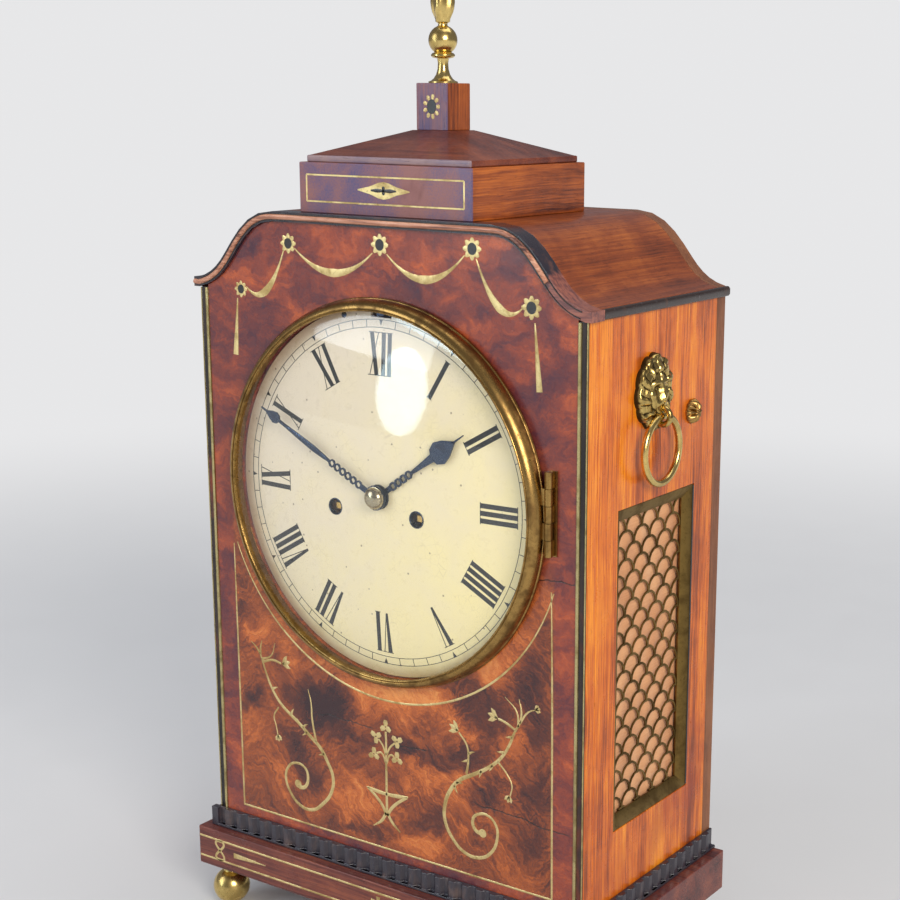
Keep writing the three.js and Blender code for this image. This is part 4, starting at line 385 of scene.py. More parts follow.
flaming = flame.ramp(tone, (0.06, rgb(50, 22, 26)), (0.3, rgb(92, 42, 28)), (0.5, rgb(142, 68, 30)),
                     (0.72, rgb(192, 100, 42)), (0.98, rgb(228, 146, 76)))
quiet_grain = flame.noise(flame.place(size=(46, 40, 1.1), turn=(0, 0.03, 0), start=stirred), 4, 0.66)
quiet_bands = flame.noise(flame.place(size=(26, 40, 17), start=stirred), 4, 0.6)
# The violet tinge of the darkest quiet stop is partly a painted cool sheen, partly the plum wood's own tone.
quiet = flame.ramp((quiet_grain - 0.5) * 0.55 + (quiet_bands - 0.5) * 1.5 + 0.5,
                   (0.14, rgb(70, 32, 48)), (0.4, rgb(106, 46, 44)), (0.6, rgb(142, 62, 42)),
                   (0.86, rgb(186, 88, 44)))
print("flame veneer nodes so far:", len(flame.tree.nodes))

# %% Borders and cracks of the flame veneer
CRACKS = [  # from x, to x, height about the dial's centre, tilt
    (-52, -10, -137, 0.02), (60, 124, -165, -0.05), (100, 127, -30, 0.02), (4, 30, -144, 0.1)]
inside = abs(across).spread(113.8, 111.8) * height.spread(DIAL_Z - 209.5, DIAL_Z - 207.5)
inside = inside * height.spread(DIAL_Z - 12, DIAL_Z - 52)
warm_ring = from_dial.spread(119.5, 117.5) * height.spread(DIAL_Z - 20, DIAL_Z - 70)
colour = flame.mix(inside.either(warm_ring), quiet, flaming)
crack = from_dial * 0.0
for x0, x1, up, tilt in CRACKS:
    wander = (flame.noise(flame.even(14), 3) - 0.5) * 7
    line = abs(height - (DIAL_Z + up) - (across - x0) * tilt - wander)
    ends = across.spread(x0 - 2, x0 + 3) * across.spread(x1 + 2, x1 - 3)
    crack = crack.either(line.spread(0.55, 0.2) * ends)
colour = flame.mix(pores * 0.35, colour, rgb(70, 26, 22), "MULTIPLY")
colour = flame.mix(crack * 0.8, colour, rgb(24, 10, 12))
rubs = flame.noise(flame.even(8), 5, 0.7)
relief = fibres * 0.35 + rubs * 0.4 + swing * 0.6 - pores * 0.3 - crack * 1.4
flame.put(Base_Color=colour, Roughness=rubs.spread(0.3, 0.75, 0.2, 0.38), Normal=flame.bump(relief, 0.1, 0.8))
print("flame veneer nodes:", len(flame.tree.nodes))

# %% [markdown]
# ## Ebonised wood
# The corner strips, ribbed moulding and edge mouldings are stained black. Black stain over brown
# wood is never even: it wears brown in patches and goes grey with wax in spots.


# %% Stained black wood
def ebonised(name, black, worn, wear):
    wood = Finish(name, "ebonised_wood", Coat_Weight=0.3, Coat_Roughness=0.2)
    grain = wood.noise(wood.place(size=(1.2, 1.2, 20)), 4, 0.6)
    patches = wood.noise(wood.place(size=(16, 16, 26)), 5, 0.68, 0.5)
    dust = wood.noise(wood.even(2.6), 4, 0.7)
    colour = wood.mix(patches.spread(0.5, 0.7) * wear + (grain - 0.5) * 0.3, black, worn)
    colour = wood.mix(dust.spread(0.58, 0.74) * 0.35, colour, rgb(120, 112, 116))
    wood.put(Base_Color=colour, Roughness=patches.spread(0.3, 0.7, 0.24, 0.42),
             Normal=wood.bump(grain * 0.6 + dust * 0.3, 0.06, 0.7))
    return wood.material


black_wood = ebonised("ebonised_wood", rgb(25, 20, 20), rgb(70, 44, 34), 0.55)
eave_wood = ebonised("brown_black_wood", rgb(40, 27, 21), rgb(86, 54, 36), 0.65)
ribbed_wood = ebonised("ribbed_black_wood", rgb(44, 40, 50), rgb(98, 78, 72), 0.7)
print("black woods:", black_wood.name, ribbed_wood.name)

# %% [markdown]
# ## Brass, steel and bell metal
# Brass keeps its shine where hands rub it and goes brown where they don't. The bare metal is
# coloured and rough in two scales, a lacquer-brown patina collects in soft patches, and fine
# scratches break up the highlights. The same recipe serves every metal with its own colours.


# %% A recipe for metals
def metal(name, slot, bright, dull, dirt, tarnish=0.5, gloss=0.2, grain=(0.5, 0.5, 0.5), depth=0.015, patch=12):
    plate = Finish(name, slot, Metallic=1.0)
    patches = plate.noise(plate.even(patch), 5, 0.66, 0.4)
    spots = plate.noise(plate.even(1.4), 4, 0.7)
    scratches = plate.noise(plate.place(size=grain), 3, 0.6)
    aged = patches.spread(0.42, 0.66)
    colour = plate.mix(aged * tarnish, bright, dull)
    colour = plate.mix(spots.spread(0.55, 0.72) * (0.45 * tarnish + 0.1), colour, dirt)
    worn = aged * (0.22 * tarnish) + scratches * 0.12 + (gloss - 0.04) + spots.spread(0.55, 0.75) * 0.2
    relief = scratches * 0.5 + patches * 0.8 + spots * 0.3
    plate.put(Base_Color=colour, Roughness=worn, Normal=plate.bump(relief, depth, 0.6))
    return plate.material


print("metal recipe ready")

# %% Brass
brass = metal("polished_brass", "brass", rgb(222, 194, 122), rgb(156, 126, 70), rgb(66, 48, 26), 0.55, 0.18)
bezel_brass = metal("bezel_brass", "brass", rgb(168, 134, 78), rgb(98, 72, 42), rgb(44, 32, 22), 0.75, 0.24)
strip_brass = metal("strip_brass", "brass", rgb(196, 180, 128), rgb(128, 108, 66), rgb(58, 46, 30), 0.7, 0.26)
fret_brass = metal("aged_fret_brass", "brass", rgb(134, 108, 58), rgb(86, 66, 34), rgb(40, 28, 16),
                   0.8, 0.4, patch=22)
inlay_brass = metal("inlaid_brass", "brass", rgb(232, 208, 148), rgb(172, 142, 86), rgb(86, 62, 38),
                    0.7, 0.4, patch=14)
movement_brass = metal("movement_brass", "movement_brass", rgb(226, 188, 110), rgb(184, 144, 76),
                       rgb(104, 78, 40), 0.45, 0.24, (0.3, 3, 3), 0.02, 26)
print("brasses:", [m.name for m in (brass, bezel_brass, strip_brass, fret_brass, inlay_brass, movement_brass)])

# %% Steel and bell metal
steel = metal("polished_steel", "steel", rgb(196, 197, 200), rgb(142, 140, 140), rgb(74, 62, 54),
              0.4, 0.24, (0.4, 4, 4), 0.015, 18)
blued_steel = metal("blued_steel", "blued_steel", rgb(66, 78, 98), rgb(38, 36, 50), rgb(58, 50, 50),
                    0.6, 0.24, patch=7)
bell_metal = metal("bell_metal", "bell_metal", rgb(206, 184, 142), rgb(158, 134, 94), rgb(88, 70, 46),
                   0.5, 0.26, (2, 2, 0.3), 0.02, 24)
print("other metals:", [m.name for m in (steel, blued_steel, bell_metal)])

# %% [markdown]
# ## The painted dial
# The dial is iron, japanned cream white. Two centuries have yellowed it towards the lower right,
# stained it brown under the bezel, and left grey rubbed spots and fine crazing.

# %% Dial paint
paint = Finish("dial_paint", "painted_dial", Coat_Weight=0.3, Coat_Roughness=0.12)
centre = (0, 0, DIAL_Z)
slant = paint.part(paint.place(centre, (0, 0.7, 0), (100, 100, 100)), "X")
clouds = paint.noise(paint.even(28), 4, 0.6, 0.5)
yellowed = (slant * 0.8 + (clouds - 0.5) * 1.2).spread(-0.8, 1.0)
colour = paint.mix(yellowed, rgb(228, 214, 190), rgb(244, 228, 166))
from_middle = paint.distance(paint.place(centre, size=(1, 1e6, 1)))
rim = (from_middle + (clouds - 0.5) * 10).spread(95, 103.5)
colour = paint.mix(rim * 0.5, colour, rgb(156, 112, 62))
blots = paint.noise(paint.even(6), 5, 0.72)
colour = paint.mix(blots.spread(0.6, 0.76) * 0.24, colour, rgb(176, 158, 128))
specks = paint.node("ShaderNodeTexVoronoi", {}, {"Vector": paint.even(9), "Scale": 1.0}, "Distance")
colour = paint.mix(specks.spread(0.085, 0.05) * 0.7, colour, rgb(96, 72, 48))
crazing = paint.node("ShaderNodeTexVoronoi", {"feature": "DISTANCE_TO_EDGE"}, {
    "Vector": paint.place(size=(5, 5, 5), start=paint.even(1000)), "Scale": 1.0}, "Distance")
lines = crazing.spread(0.03, 0.0) * clouds.spread(0.5, 0.62)
colour = paint.mix(lines * 0.25, colour, rgb(150, 128, 98))
paint.put(Base_Color=colour, Roughness=blots.spread(0.35, 0.75, 0.26, 0.46),
          Normal=paint.bump(blots * 0.5 + clouds - lines * 0.5, 0.05, 0.6))
dial_paint = paint.material
print("dial paint nodes:", len(paint.tree.nodes))

# %% Black for the numerals
black = Finish("numeral_black", "painted_dial", Coat_Weight=0.2)
flaked = black.noise(black.even(1.1), 4, 0.72)
black.put(Base_Color=black.mix(flaked.spread(0.58, 0.72) * 0.6, rgb(30, 29, 27), rgb(120, 110, 92)),
          Roughness=flaked.spread(0.3, 0.7, 0.34, 0.5))
numeral_black = black.material
print("dial finishes:", dial_paint.name, numeral_black.name)

# %% [markdown]
# ## Glass and silk
# The glass is a thin dome. Light goes straight through it except for a reflection that grows
# towards grazing angles, so it is a clear shader and a mirror mixed by that angle. The silk behind
# the frets is a plain weave: its threads and their sheen come from its own coordinates.

# %% Clear glass
clear = Finish("clock_glass", "glass", Base_Color=rgb(246, 250, 252), Roughness=0.03, Metallic=1.0)
smear = clear.noise(clear.even(26), 3, 0.5)
clear.put(Roughness=smear.spread(0.4, 0.75, 0.02, 0.09))
facing = clear.node("ShaderNodeLayerWeight", {}, {"Blend": 0.5}, "Facing")
clear_film = clear.node("ShaderNodeBsdfTransparent")
clear.surface((facing ** 5) * 0.8 + smear.spread(0.5, 0.8) * 0.015 + 0.035,
              clear_film, Wire(clear, clear.shader.outputs[0]))
glass = clear.material
print("glass nodes:", len(clear.tree.nodes))

# %% Silk
THREAD = 0.62 / math.tau
cloth = Finish("peach_silk", "silk", Sheen_Weight=0.35, Sheen_Roughness=0.4)
threads_down = cloth.part(cloth.even(THREAD), "Y").sine()
threads_across = cloth.part(cloth.even(THREAD), "Z").sine()
slub = cloth.noise(cloth.place(size=(3, 14, 0.7)), 3, 0.6)
fade = cloth.noise(cloth.place(size=(30, 26, 50)), 3, 0.55)
weave = threads_down * threads_across
colour = cloth.ramp(fade * 0.7 + slub * 0.3,
                    (0.3, rgb(206, 140, 92)), (0.55, rgb(232, 172, 120)), (0.75, rgb(240, 192, 144)))
colour = cloth.mix(weave.spread(-1, 1, 0.0, 0.25), colour, rgb(184, 116, 70), "MULTIPLY")
cloth.put(Base_Color=colour, Roughness=fade.spread(0.3, 0.7, 0.55, 0.72),
          Normal=cloth.bump(weave * 0.5 + slub * 0.5, 0.12, 0.7))
silk = cloth.material
print("silk nodes:", len(cloth.tree.nodes))

# %% [markdown]
# ## Eased edges
# A board straight from the saw has knife edges, and a real one has been rubbed round by hand. Each
# packed board stays where it is: a merged copy of it stands in its place, with its flat faces
# joined up again and every sharp edge eased by a few tenths of a millimetre, which is what
# catches the light.


# %% Hand a piece over
def only(piece):
    bpy.ops.object.select_all(action="DESELECT")
    piece.select_set(True)
    bpy.context.view_layer.objects.active = piece


def joined(first, *others):
    """Makes one piece of several, under the first one's name."""
    only(first)
    for other in others:
        other.select_set(True)
    bpy.ops.object.join()
    return first


def hand_over(piece, name, finish, body, *stands_for, smooth=None):
    """Names a finished piece, gives it its finish and lets it ride on a body of the clock."""
    only(piece)
    bpy.ops.object.transform_apply(location=True, rotation=True, scale=True)
    if smooth is not None:
        bpy.ops.object.shade_smooth_by_angle(angle=math.radians(smooth))
    piece.name = piece.data.name = name
    piece.data.materials.clear()
    piece.data.materials.append(finish)
    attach(piece, body)
    if stands_for:
        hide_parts(*stands_for)
    return piece


print("handing over ready")


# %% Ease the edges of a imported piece
SAME_PLACE = 0.005 * MM
SAME_PLANE = math.radians(0.4)


def applied(piece, kind, **settings):
    """Adds a modifier with its settings and applies it at once."""
    modifier = piece.modifiers.new(kind.lower(), kind)
    for key, value in settings.items():
        setattr(modifier, key, value)
    bpy.ops.object.modifier_apply(modifier=modifier.name)


def eased(node, finish, edge=0.5, smooth=32, sharp=34):
    """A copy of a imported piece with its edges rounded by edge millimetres, in the piece's place."""
    source = nodes[node]
    piece = bpy.data.objects.new(node + "_dressed", source.data.copy())
    bpy.context.scene.collection.objects.link(piece)
    only(piece)
    bpy.ops.object.mode_set(mode="EDIT")
    bpy.ops.mesh.select_all(action="SELECT")
    bpy.ops.mesh.remove_doubles(threshold=SAME_PLACE)
    bpy.ops.mesh.dissolve_limited(angle_limit=SAME_PLANE)
    bpy.ops.object.mode_set(mode="OBJECT")
    applied(piece, "BEVEL", width=edge * MM, segments=2, limit_method="ANGLE",
            angle_limit=math.radians(sharp), use_clamp_overlap=True, harden_normals=False)
    hand_over(piece, node + "_dressed", finish, source["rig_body"], node, smooth=smooth)
    applied(piece, "WEIGHTED_NORMAL", keep_sharp=True)
    return piece


print("easing ready")

# %% Ease the boards
BOARDS = {
    "base_plinth": (plain_wood, 0.8), "front_panel": (flame.material, 0.25),
    "side_panel_left": (side_wood, 0.3), "side_panel_right": (side_wood, 0.3),
    "corner_strip_left": (corner_wood, 0.4), "corner_strip_right": (corner_wood, 0.4),
    "back_frame": (inside_wood, 0.5), "roof": (roof_wood, 0.6),
    "eave_moulding_left": (eave_wood, 0.7), "eave_moulding_right": (eave_wood, 0.7),
    "caddy_block": (caddy_wood, 0.6), "pyramid_cap": (cap_wood, 0.7), "finial_block": (block_wood, 0.5),
    "ribbed_moulding": (ribbed_wood, 0.45), "seatboard": (inside_wood, 0.6)}
for node, (finish, edge) in BOARDS.items():
    eased(node, finish, edge)
print("boards eased:", len(BOARDS))

# %% [markdown]
# ## Turned brass
# Feet, finial, bezel, glass and rings are all turned on a lathe. In Blender a lathe is the Spin
# operator: a small plane is drawn together to one vertex, that vertex is extruded along the
# profile, and the line is spun all the way round. The first and last ring then fall on each
# other, so doubles are merged and the faces are turned outwards.


# %% A lathe
TOUCHING = 0.02 * MM


def drawn(points):
    """A line of vertices through points in metres, left open in edit mode."""
    bpy.ops.mesh.primitive_plane_add(size=MM, location=points[0])
    line = bpy.context.active_object
    bpy.ops.object.mode_set(mode="EDIT")
    bpy.ops.mesh.select_all(action="SELECT")
    bpy.ops.mesh.merge(type="CENTER")
    for before, after in zip(points, points[1:]):
        bpy.ops.mesh.extrude_region_move(TRANSFORM_OT_translate={"value": after - before})
    return line


def spun(profile, axis, centre, steps):
    """A profile of (radius, distance along the axis) in mm, spun about that axis through centre."""
    out = Vector((0, 1, 0)) if axis == "X" else Vector((1, 0, 0))
    along_axis = Vector([float(a == axis) for a in "XYZ"])
    middle = Vector(centre)
    piece = drawn([(middle + out * r + along_axis * a) * MM for r, a in profile])
    bpy.ops.mesh.select_all(action="SELECT")
    bpy.ops.mesh.spin(steps=steps, angle=math.tau, center=middle * MM, axis=along_axis)
    bpy.ops.mesh.select_all(action="SELECT")
    bpy.ops.mesh.remove_doubles(threshold=TOUCHING)
    bpy.ops.mesh.normals_make_consistent(inside=False)
    bpy.ops.object.mode_set(mode="OBJECT")
    bpy.ops.object.transform_apply(location=True, rotation=True, scale=True)
    return piece


def arc(radius, first, last, steps, up):
    """Points of a profile's round part, from one angle to another in degrees."""
    turns = [math.radians(first + (last - first) * k / steps) for k in range(steps + 1)]
    return [(radius * math.cos(t), up + radius * math.sin(t)) for t in turns]


print("lathe ready")

# %% Ball feet
FOOT = [(0, 0), (4.5, 0)] + arc(11.2, -66, 66, 22, 11.2) + [
    (4.2, 22.3), (4.2, 23.2), (5.6, 23.8), (5.6, 24.6), (8.6, 25.6), (9.0, 26.2), (9.0, 28), (0, 28)]
for node in ("foot_front_left", "foot_front_right", "foot_rear_left", "foot_rear_right"):
    low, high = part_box(node)
    foot = spun(FOOT, "Z", ((low.x + high.x) / 2 / MM, (low.y + high.y) / 2 / MM, 0), 64)
    hand_over(foot, node + "_turned", brass, "case", node, smooth=40)
print("feet:", len(foot.data.vertices), "vertices each")

# %% [markdown]
# ## The finial
# A turned stalk and ball carry a cast flame. The flame starts as a spun bud too, and then each ring
# of vertices is pushed in and out in four twisting lobes.

# %% Finial
STALK = [(0, 0), (8, 0), (8, 0.8), (6.6, 1.3), (5.2, 2.4), (3.8, 4.6), (3.0, 7.4), (2.8, 10.6), (3.2, 12.9),
         (5.6, 13.4), (6.5, 14.2), (6.5, 15.0), (5.7, 15.8), (4.6, 16.2)]
BALL = arc(7.85, -44, 66, 18, 22.6) + [(2.6, 30.2), (2.5, 30.8)]
FLAME = [(2.6, 31.3), (3.9, 32.1), (4.3, 32.9), (4.4, 33.6), (5.1, 35.3), (5.8, 37.4), (6.2, 39.6), (6.4, 42.2),
         (6.3, 44.6), (5.9, 47.2), (5.2, 50.0), (4.4, 52.8), (3.4, 56.0), (2.5, 58.8), (1.7, 61.2), (0.9, 63.0),
         (0, 64)]
LOBES, LOBE_DEPTH, LOBES_FROM, TWIST = 4, 0.14, 32.5, 0.09
low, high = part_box("finial")
stand = (0, (low.y + high.y) / 2 / MM, low.z / MM)
finial = spun(STALK + BALL + FLAME, "Z", stand, 64)
middle = Vector(stand) * MM
for vertex in finial.data.vertices:
    place = vertex.co - middle
    up = place.z / MM
    if up > LOBES_FROM:
        swirl = math.cos(LOBES * math.atan2(place.y, place.x) - TWIST * (up - 30))
        push = 1 + LOBE_DEPTH * min(1, (up - LOBES_FROM) / 4) * swirl - 0.06
        place.x, place.y = place.x * push, place.y * push
        vertex.co = place + middle
hand_over(finial, "finial_turned", brass, "case", "finial", smooth=42)
print("finial stands from", round(low.z / MM, 1), "to", round(high.z / MM, 1))

# %% [markdown]
# ## Bezel and glass
# The bezel is one spun brass ring: a bright outer bead, a hollow, and a thin sight edge against
# the glass. Two round knuckles with short lugs join it to the hinge's pin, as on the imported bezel.
# The glass is a shallow dome of even thickness, spun from a profile with both of its faces.

# %% Bezel
BEZEL = [(104.1, -0.3), (108, -0.3), (108.4, -0.8), (108.4, -2.3), (108.1, -2.7), (107.8, -2.8), (107.75, -3.3),
         (107.9, -3.5), (107.8, -4.6), (107.4, -5.9), (106.8, -7.2), (106.0, -8.4), (105.0, -9.3), (104.0, -9.85),
         (103.4, -10.0), (103.1, -9.8), (103.0, -9.4), (102.8, -9.4), (102.6, -9.8), (102.2, -10.0),
         (101.8, -9.85), (101.55, -9.4), (101.5, -8.5), (104.1, -8.5), (104.1, -0.3)]
PIN_X, PIN_Y, KNUCKLE, KNUCKLE_RADIUS = 111, FACE - 3.2, 8.7, 2.2
LUG_X, LUG = 108.9, (4.2, 1.8)
dial_centre = (0, FACE, DIAL_Z)
bezel = spun(BEZEL, "Y", dial_centre, 128)
lugs = []
for up in (-3.0, 15.0):
    bpy.ops.mesh.primitive_cylinder_add(vertices=24, radius=KNUCKLE_RADIUS * MM, depth=KNUCKLE * MM,
                                        location=Vector((PIN_X, PIN_Y, DIAL_Z + up)) * MM)
    lugs.append(bpy.context.active_object)
    bpy.ops.mesh.primitive_cube_add(size=MM, location=Vector((LUG_X, PIN_Y, DIAL_Z + up)) * MM,
                                    scale=(*LUG, KNUCKLE))
    lugs.append(bpy.context.active_object)
hand_over(joined(bezel, *lugs), "bezel_turned", bezel_brass, "bezel_door", "bezel", smooth=38)
print("bezel faces:", len(bezel.data.polygons))


# %% Domed glass
def dome(r, rim, crown):
    """How far a dome that stands crown high in its middle rises at radius r."""
    return crown * (1 - (r / rim) ** 2)


SIGHT, GLASS_CROWN, GLASS_FRONT, GLASS_BACK = 101.3, 12.8, -8.2, -6.2
radii = [SIGHT * k / 26 for k in range(27)]
OUTSIDE = [(r, GLASS_FRONT - dome(r, SIGHT, GLASS_CROWN)) for r in radii]
INSIDE = [(r, GLASS_BACK - dome(r, SIGHT, GLASS_CROWN)) for r in reversed(radii)]
domed_glass = spun(OUTSIDE + [(103.5, GLASS_FRONT), (103.5, GLASS_BACK)] + INSIDE, "Y", dial_centre, 96)
hand_over(domed_glass, "domed_glass", glass, "bezel_door", "bezel_glass", smooth=50)
print("glass faces:", len(domed_glass.data.polygons))

# %% [markdown]
# ## The dial sheet
# The dial is a slightly domed disc with holes for the hands' pipes, two winding squares and the
# strike lever's slot. The disc is spun with enough rings to stay smooth, and the holes are cut with
# round and curved cutters by the Boolean modifier.

# %% Dial
DIAL_EDGE, CROWN, DIAL_FRONT, DIAL_BACK = 103, 4.1, 1.4, 3.0


def dial_rise(r):
    """Where the dial's painted face lies behind the front board's face, r from its middle."""
    return DIAL_FRONT - dome(r, DIAL_EDGE, CROWN)


radii = [DIAL_EDGE * k / 14 for k in range(15)]
SHEET = [(r, dial_rise(r)) for r in radii]
SHEET += [(r, DIAL_BACK - dome(r, DIAL_EDGE, CROWN)) for r in reversed(radii)]
dial = spun(SHEET, "Y", dial_centre, 120)
print("dial rises from", round(dial_rise(DIAL_EDGE), 2), "to", round(dial_rise(0), 2))


# %% Holes in the dial
WINDING_HOLES = {"winding_hole_left": (-32, -10), "winding_hole_right": (25, -9.5)}
PIPE_RADIUS, HOLE_RADIUS = 5.4, 4.3


def cut_with(piece, cutter):
    only(piece)
    applied(piece, "BOOLEAN", operation="DIFFERENCE", object=cutter, solver="EXACT")
    bpy.data.objects.remove(cutter)


for x, up, radius in [(0, 0, PIPE_RADIUS)] + [(*place, HOLE_RADIUS) for place in WINDING_HOLES.values()]:
    bpy.ops.mesh.primitive_cylinder_add(vertices=40, radius=radius * MM, depth=20 * MM,
                                        location=Vector((x, FACE, DIAL_Z + up)) * MM,
                                        rotation=(math.pi / 2, 0, 0))
    cut_with(dial, bpy.context.active_object)
bpy.ops.mesh.primitive_cube_add(size=MM, location=Vector((0, FACE, DIAL_Z + 99.2)) * MM, scale=(14, 20, 3.6))
cut_with(dial, bpy.context.active_object)
hand_over(dial, "dial_sheet", dial_paint, "case", "dial", smooth=40)
for name, (x, up) in WINDING_HOLES.items():
    rise = dial_rise(math.hypot(x, up))
    COLLAR = [(4.15, rise + 2.2), (4.15, rise - 0.1), (4.4, rise - 0.4), (4.75, rise - 0.35), (4.9, rise + 0.1),
              (4.3, rise + 2.2), (4.15, rise + 2.2)]
    collar = spun(COLLAR, "Y", (x, FACE, DIAL_Z + up), 40)
    hand_over(collar, name, blued_steel, "case", smooth=40)
print("dial faces:", len(dial.data.polygons))

# %% [markdown]
# ## Numerals and minute track
# Roman numerals are painted with a full brush: broad strokes about 3 mm wide, hair-thin serifs
# across their ends, and every numeral stands with its foot to the centre. Each stroke is a flat
# plate, cut from a filled curve. A numeral's plates are drawn upright at twelve and turned to their
# hour, and all of them together are then laid on the dome of the dial.

# %% Flat plates and strokes
PAINT_THICK, SERIF, HAIR, STEM = 0.06, 0.45, 0.5, 2.7


def plate(points, thick):
    """A flat closed outline of (across, up) in mm, filled, standing in the plane of the dial."""
    data = bpy.data.curves.new("outline", "CURVE")
    data.dimensions, data.fill_mode, data.extrude = "2D", "BOTH", thick / 2 * MM
    spline = data.splines.new("POLY")
    spline.points.add(len(points) - 1)
    for point, (u, v) in zip(spline.points, points):
        point.co = (u * MM, v * MM, 0, 1)
    spline.use_cyclic_u = True
    piece = bpy.data.objects.new("outline", data)
    bpy.context.scene.collection.objects.link(piece)
    only(piece)
    bpy.ops.object.convert(target="MESH")
    piece = bpy.context.active_object
    piece.data.transform(Matrix.Rotation(math.pi / 2, 4, "X"))
    return piece


def stroke(u0, v0, u1, v1, width):
    """The outline of a straight stroke between two points."""
    side = Vector((v1 - v0, u0 - u1)).normalized() * width / 2
    return [(u0 - side.x, v0 - side.y), (u0 + side.x, v0 + side.y),
            (u1 + side.x, v1 + side.y), (u1 - side.x, v1 - side.y)]


def serif(middle, end, reach):
    return stroke(middle - reach, end, middle + reach, end, SERIF)


print("strokes ready, the broad ones", STEM, "mm wide")

# %% The letters of a numeral
FOOT_OF_NUMERAL, HEAD_OF_NUMERAL = 66.5, 89.5
LETTER_WIDTHS = {"I": 4.1, "V": 8.2, "X": 8.6}


def letter_outlines(letter, mid, low, high):
    half = LETTER_WIDTHS[letter] / 2
    if letter == "I":
        return [stroke(mid, low, mid, high, STEM), serif(mid, low, 1.9), serif(mid, high, 1.9)]
    if letter == "V":
        return [[(mid - 0.9, low), (mid + 0.5, low), (mid - half + 4.0, high), (mid - half + 1.1, high)],
                stroke(mid + 0.2, low, mid + half - 1.6, high, HAIR),
                stroke(mid - half + 0.4, high, mid - half + 4.9, high, SERIF),
                stroke(mid + half - 3.0, high, mid + half - 0.3, high, SERIF)]
    outlines = [stroke(mid + half - 2.4, low, mid - half + 2.4, high, STEM),
                stroke(mid - half + 1.6, low, mid + half - 1.6, high, HAIR)]
    for side, end in ((1, low), (-1, high), (-1, low), (1, high)):
        outlines.append(serif(mid + side * (half - 2.3), end, 2.1))
    return outlines


def numeral(letters):
    """All outlines of a numeral that stands at twelve, its middle above the dial's."""
    left = -sum(LETTER_WIDTHS[c] for c in letters) / 2
    outlines = []
    for letter in letters:
        outlines += letter_outlines(letter, left + LETTER_WIDTHS[letter] / 2, FOOT_OF_NUMERAL, HEAD_OF_NUMERAL)
        left += LETTER_WIDTHS[letter]
    return outlines


print("outlines in the eighth hour's numeral:", len(numeral("VIII")))

# %% Numerals and minute marks
HOURS = "I II III IIII V VI VII VIII IX X XI XII".split()
TRACK_INSIDE, TRACK_OUTSIDE, TRACK_LINE = 92.2, 96.4, 0.17


def turned_plate(outline, share):
    """A painted mark drawn at twelve and turned clockwise by a share of the circle."""
    piece = plate(outline, PAINT_THICK)
    piece.data.transform(Matrix.Rotation(math.tau * share, 4, "Y"))
    return piece


marks = [turned_plate(outline, hour / 12) for hour, letters in enumerate(HOURS, start=1)
         for outline in numeral(letters)]
for minute in range(60):
    five = minute % 5 == 0
    mark = [(-1.3, 96.6), (1.3, 96.6), (0, 93.2)] if five else stroke(0, TRACK_INSIDE, 0, 96.3, 0.38)
    marks.append(turned_plate(mark, minute / 60))
numerals = joined(*marks)
for vertex in numerals.data.vertices:
    from_centre = math.hypot(vertex.co.x, vertex.co.z) / MM
    vertex.co.y += (FACE + dial_rise(from_centre) - 0.05) * MM
    vertex.co.z += DIAL_Z * MM
hand_over(numerals, "numerals", numeral_black, "case")
print("numerals and minutes:", len(marks), "plates,", len(numerals.data.polygons), "faces")

# %% The two circles of the minute track
for name, radius in (("minute_circle_inner", TRACK_INSIDE), ("minute_circle_outer", TRACK_OUTSIDE)):
    back, front = dial_rise(radius) + 0.05, dial_rise(radius) - 0.07
    CIRCLE = [(radius - TRACK_LINE, back), (radius - TRACK_LINE, front), (radius + TRACK_LINE, front),
              (radius + TRACK_LINE, back), (radius - TRACK_LINE, back)]
    circle = spun(CIRCLE, "Y", dial_centre, 120)
    hand_over(circle, name, numeral_black, "case", smooth=40)
print("minute track:", TRACK_INSIDE, "to", TRACK_OUTSIDE, "mm from the middle")

# %% [markdown]
# ## Brass strands
# The brass lines, scrolls, swags and flowers are thin brass let into the veneer and rubbed flush.
# A curve with a round bevel draws such a line well, because each point has its own radius: thin
# ends, a fat middle for a swag, a drop that widens. The curve is made a mesh, and its front is
# then pressed flat, a tenth of a millimetre proud of the wood.


# %% Draw strands
def strands(lines, name, finish, body, axis="Y", flat=None, smooth=35, bevel=2, fine=5):
    """lines: lists of (place, radius) in mm. flat: the two values on the axis that press the strands."""
    data = bpy.data.curves.new(name, "CURVE")
    data.dimensions, data.bevel_depth, data.bevel_resolution = "3D", MM, bevel
    data.resolution_u, data.use_fill_caps = fine, True
    for points in lines:
        spline = data.splines.new("BEZIER")
        spline.bezier_points.add(len(points) - 1)
        for knot, (place, radius) in zip(spline.bezier_points, points):
            knot.co, knot.radius = Vector(place) * MM, radius
            knot.handle_left_type = knot.handle_right_type = "AUTO"
    piece = bpy.data.objects.new(name, data)
    bpy.context.scene.collection.objects.link(piece)
    only(piece)
    bpy.ops.object.convert(target="MESH")
    piece = bpy.context.active_object
    if flat:
        k, (low, high) = "XYZ".index(axis), flat
        for vertex in piece.data.vertices:
            vertex.co[k] = min(max(vertex.co[k], low * MM), high * MM)
    return hand_over(piece, name, finish, body, smooth=smooth) if body else piece


print("strands ready")


# %% Lines on the front board
def on_front(points, *radii):
    """(x, height about the dial's centre) points on the front board, with radii spread along them."""
    last = len(points) - 1
    line = []
    for k, (x, up) in enumerate(points):
        at = k / last * (len(radii) - 1)
        n = max(0, min(int(at), len(radii) - 2))
        after = radii[min(n + 1, len(radii) - 1)]
        line.append(((x, FACE, DIAL_Z + up), radii[n] + (after - radii[n]) * (at - n)))
    return line


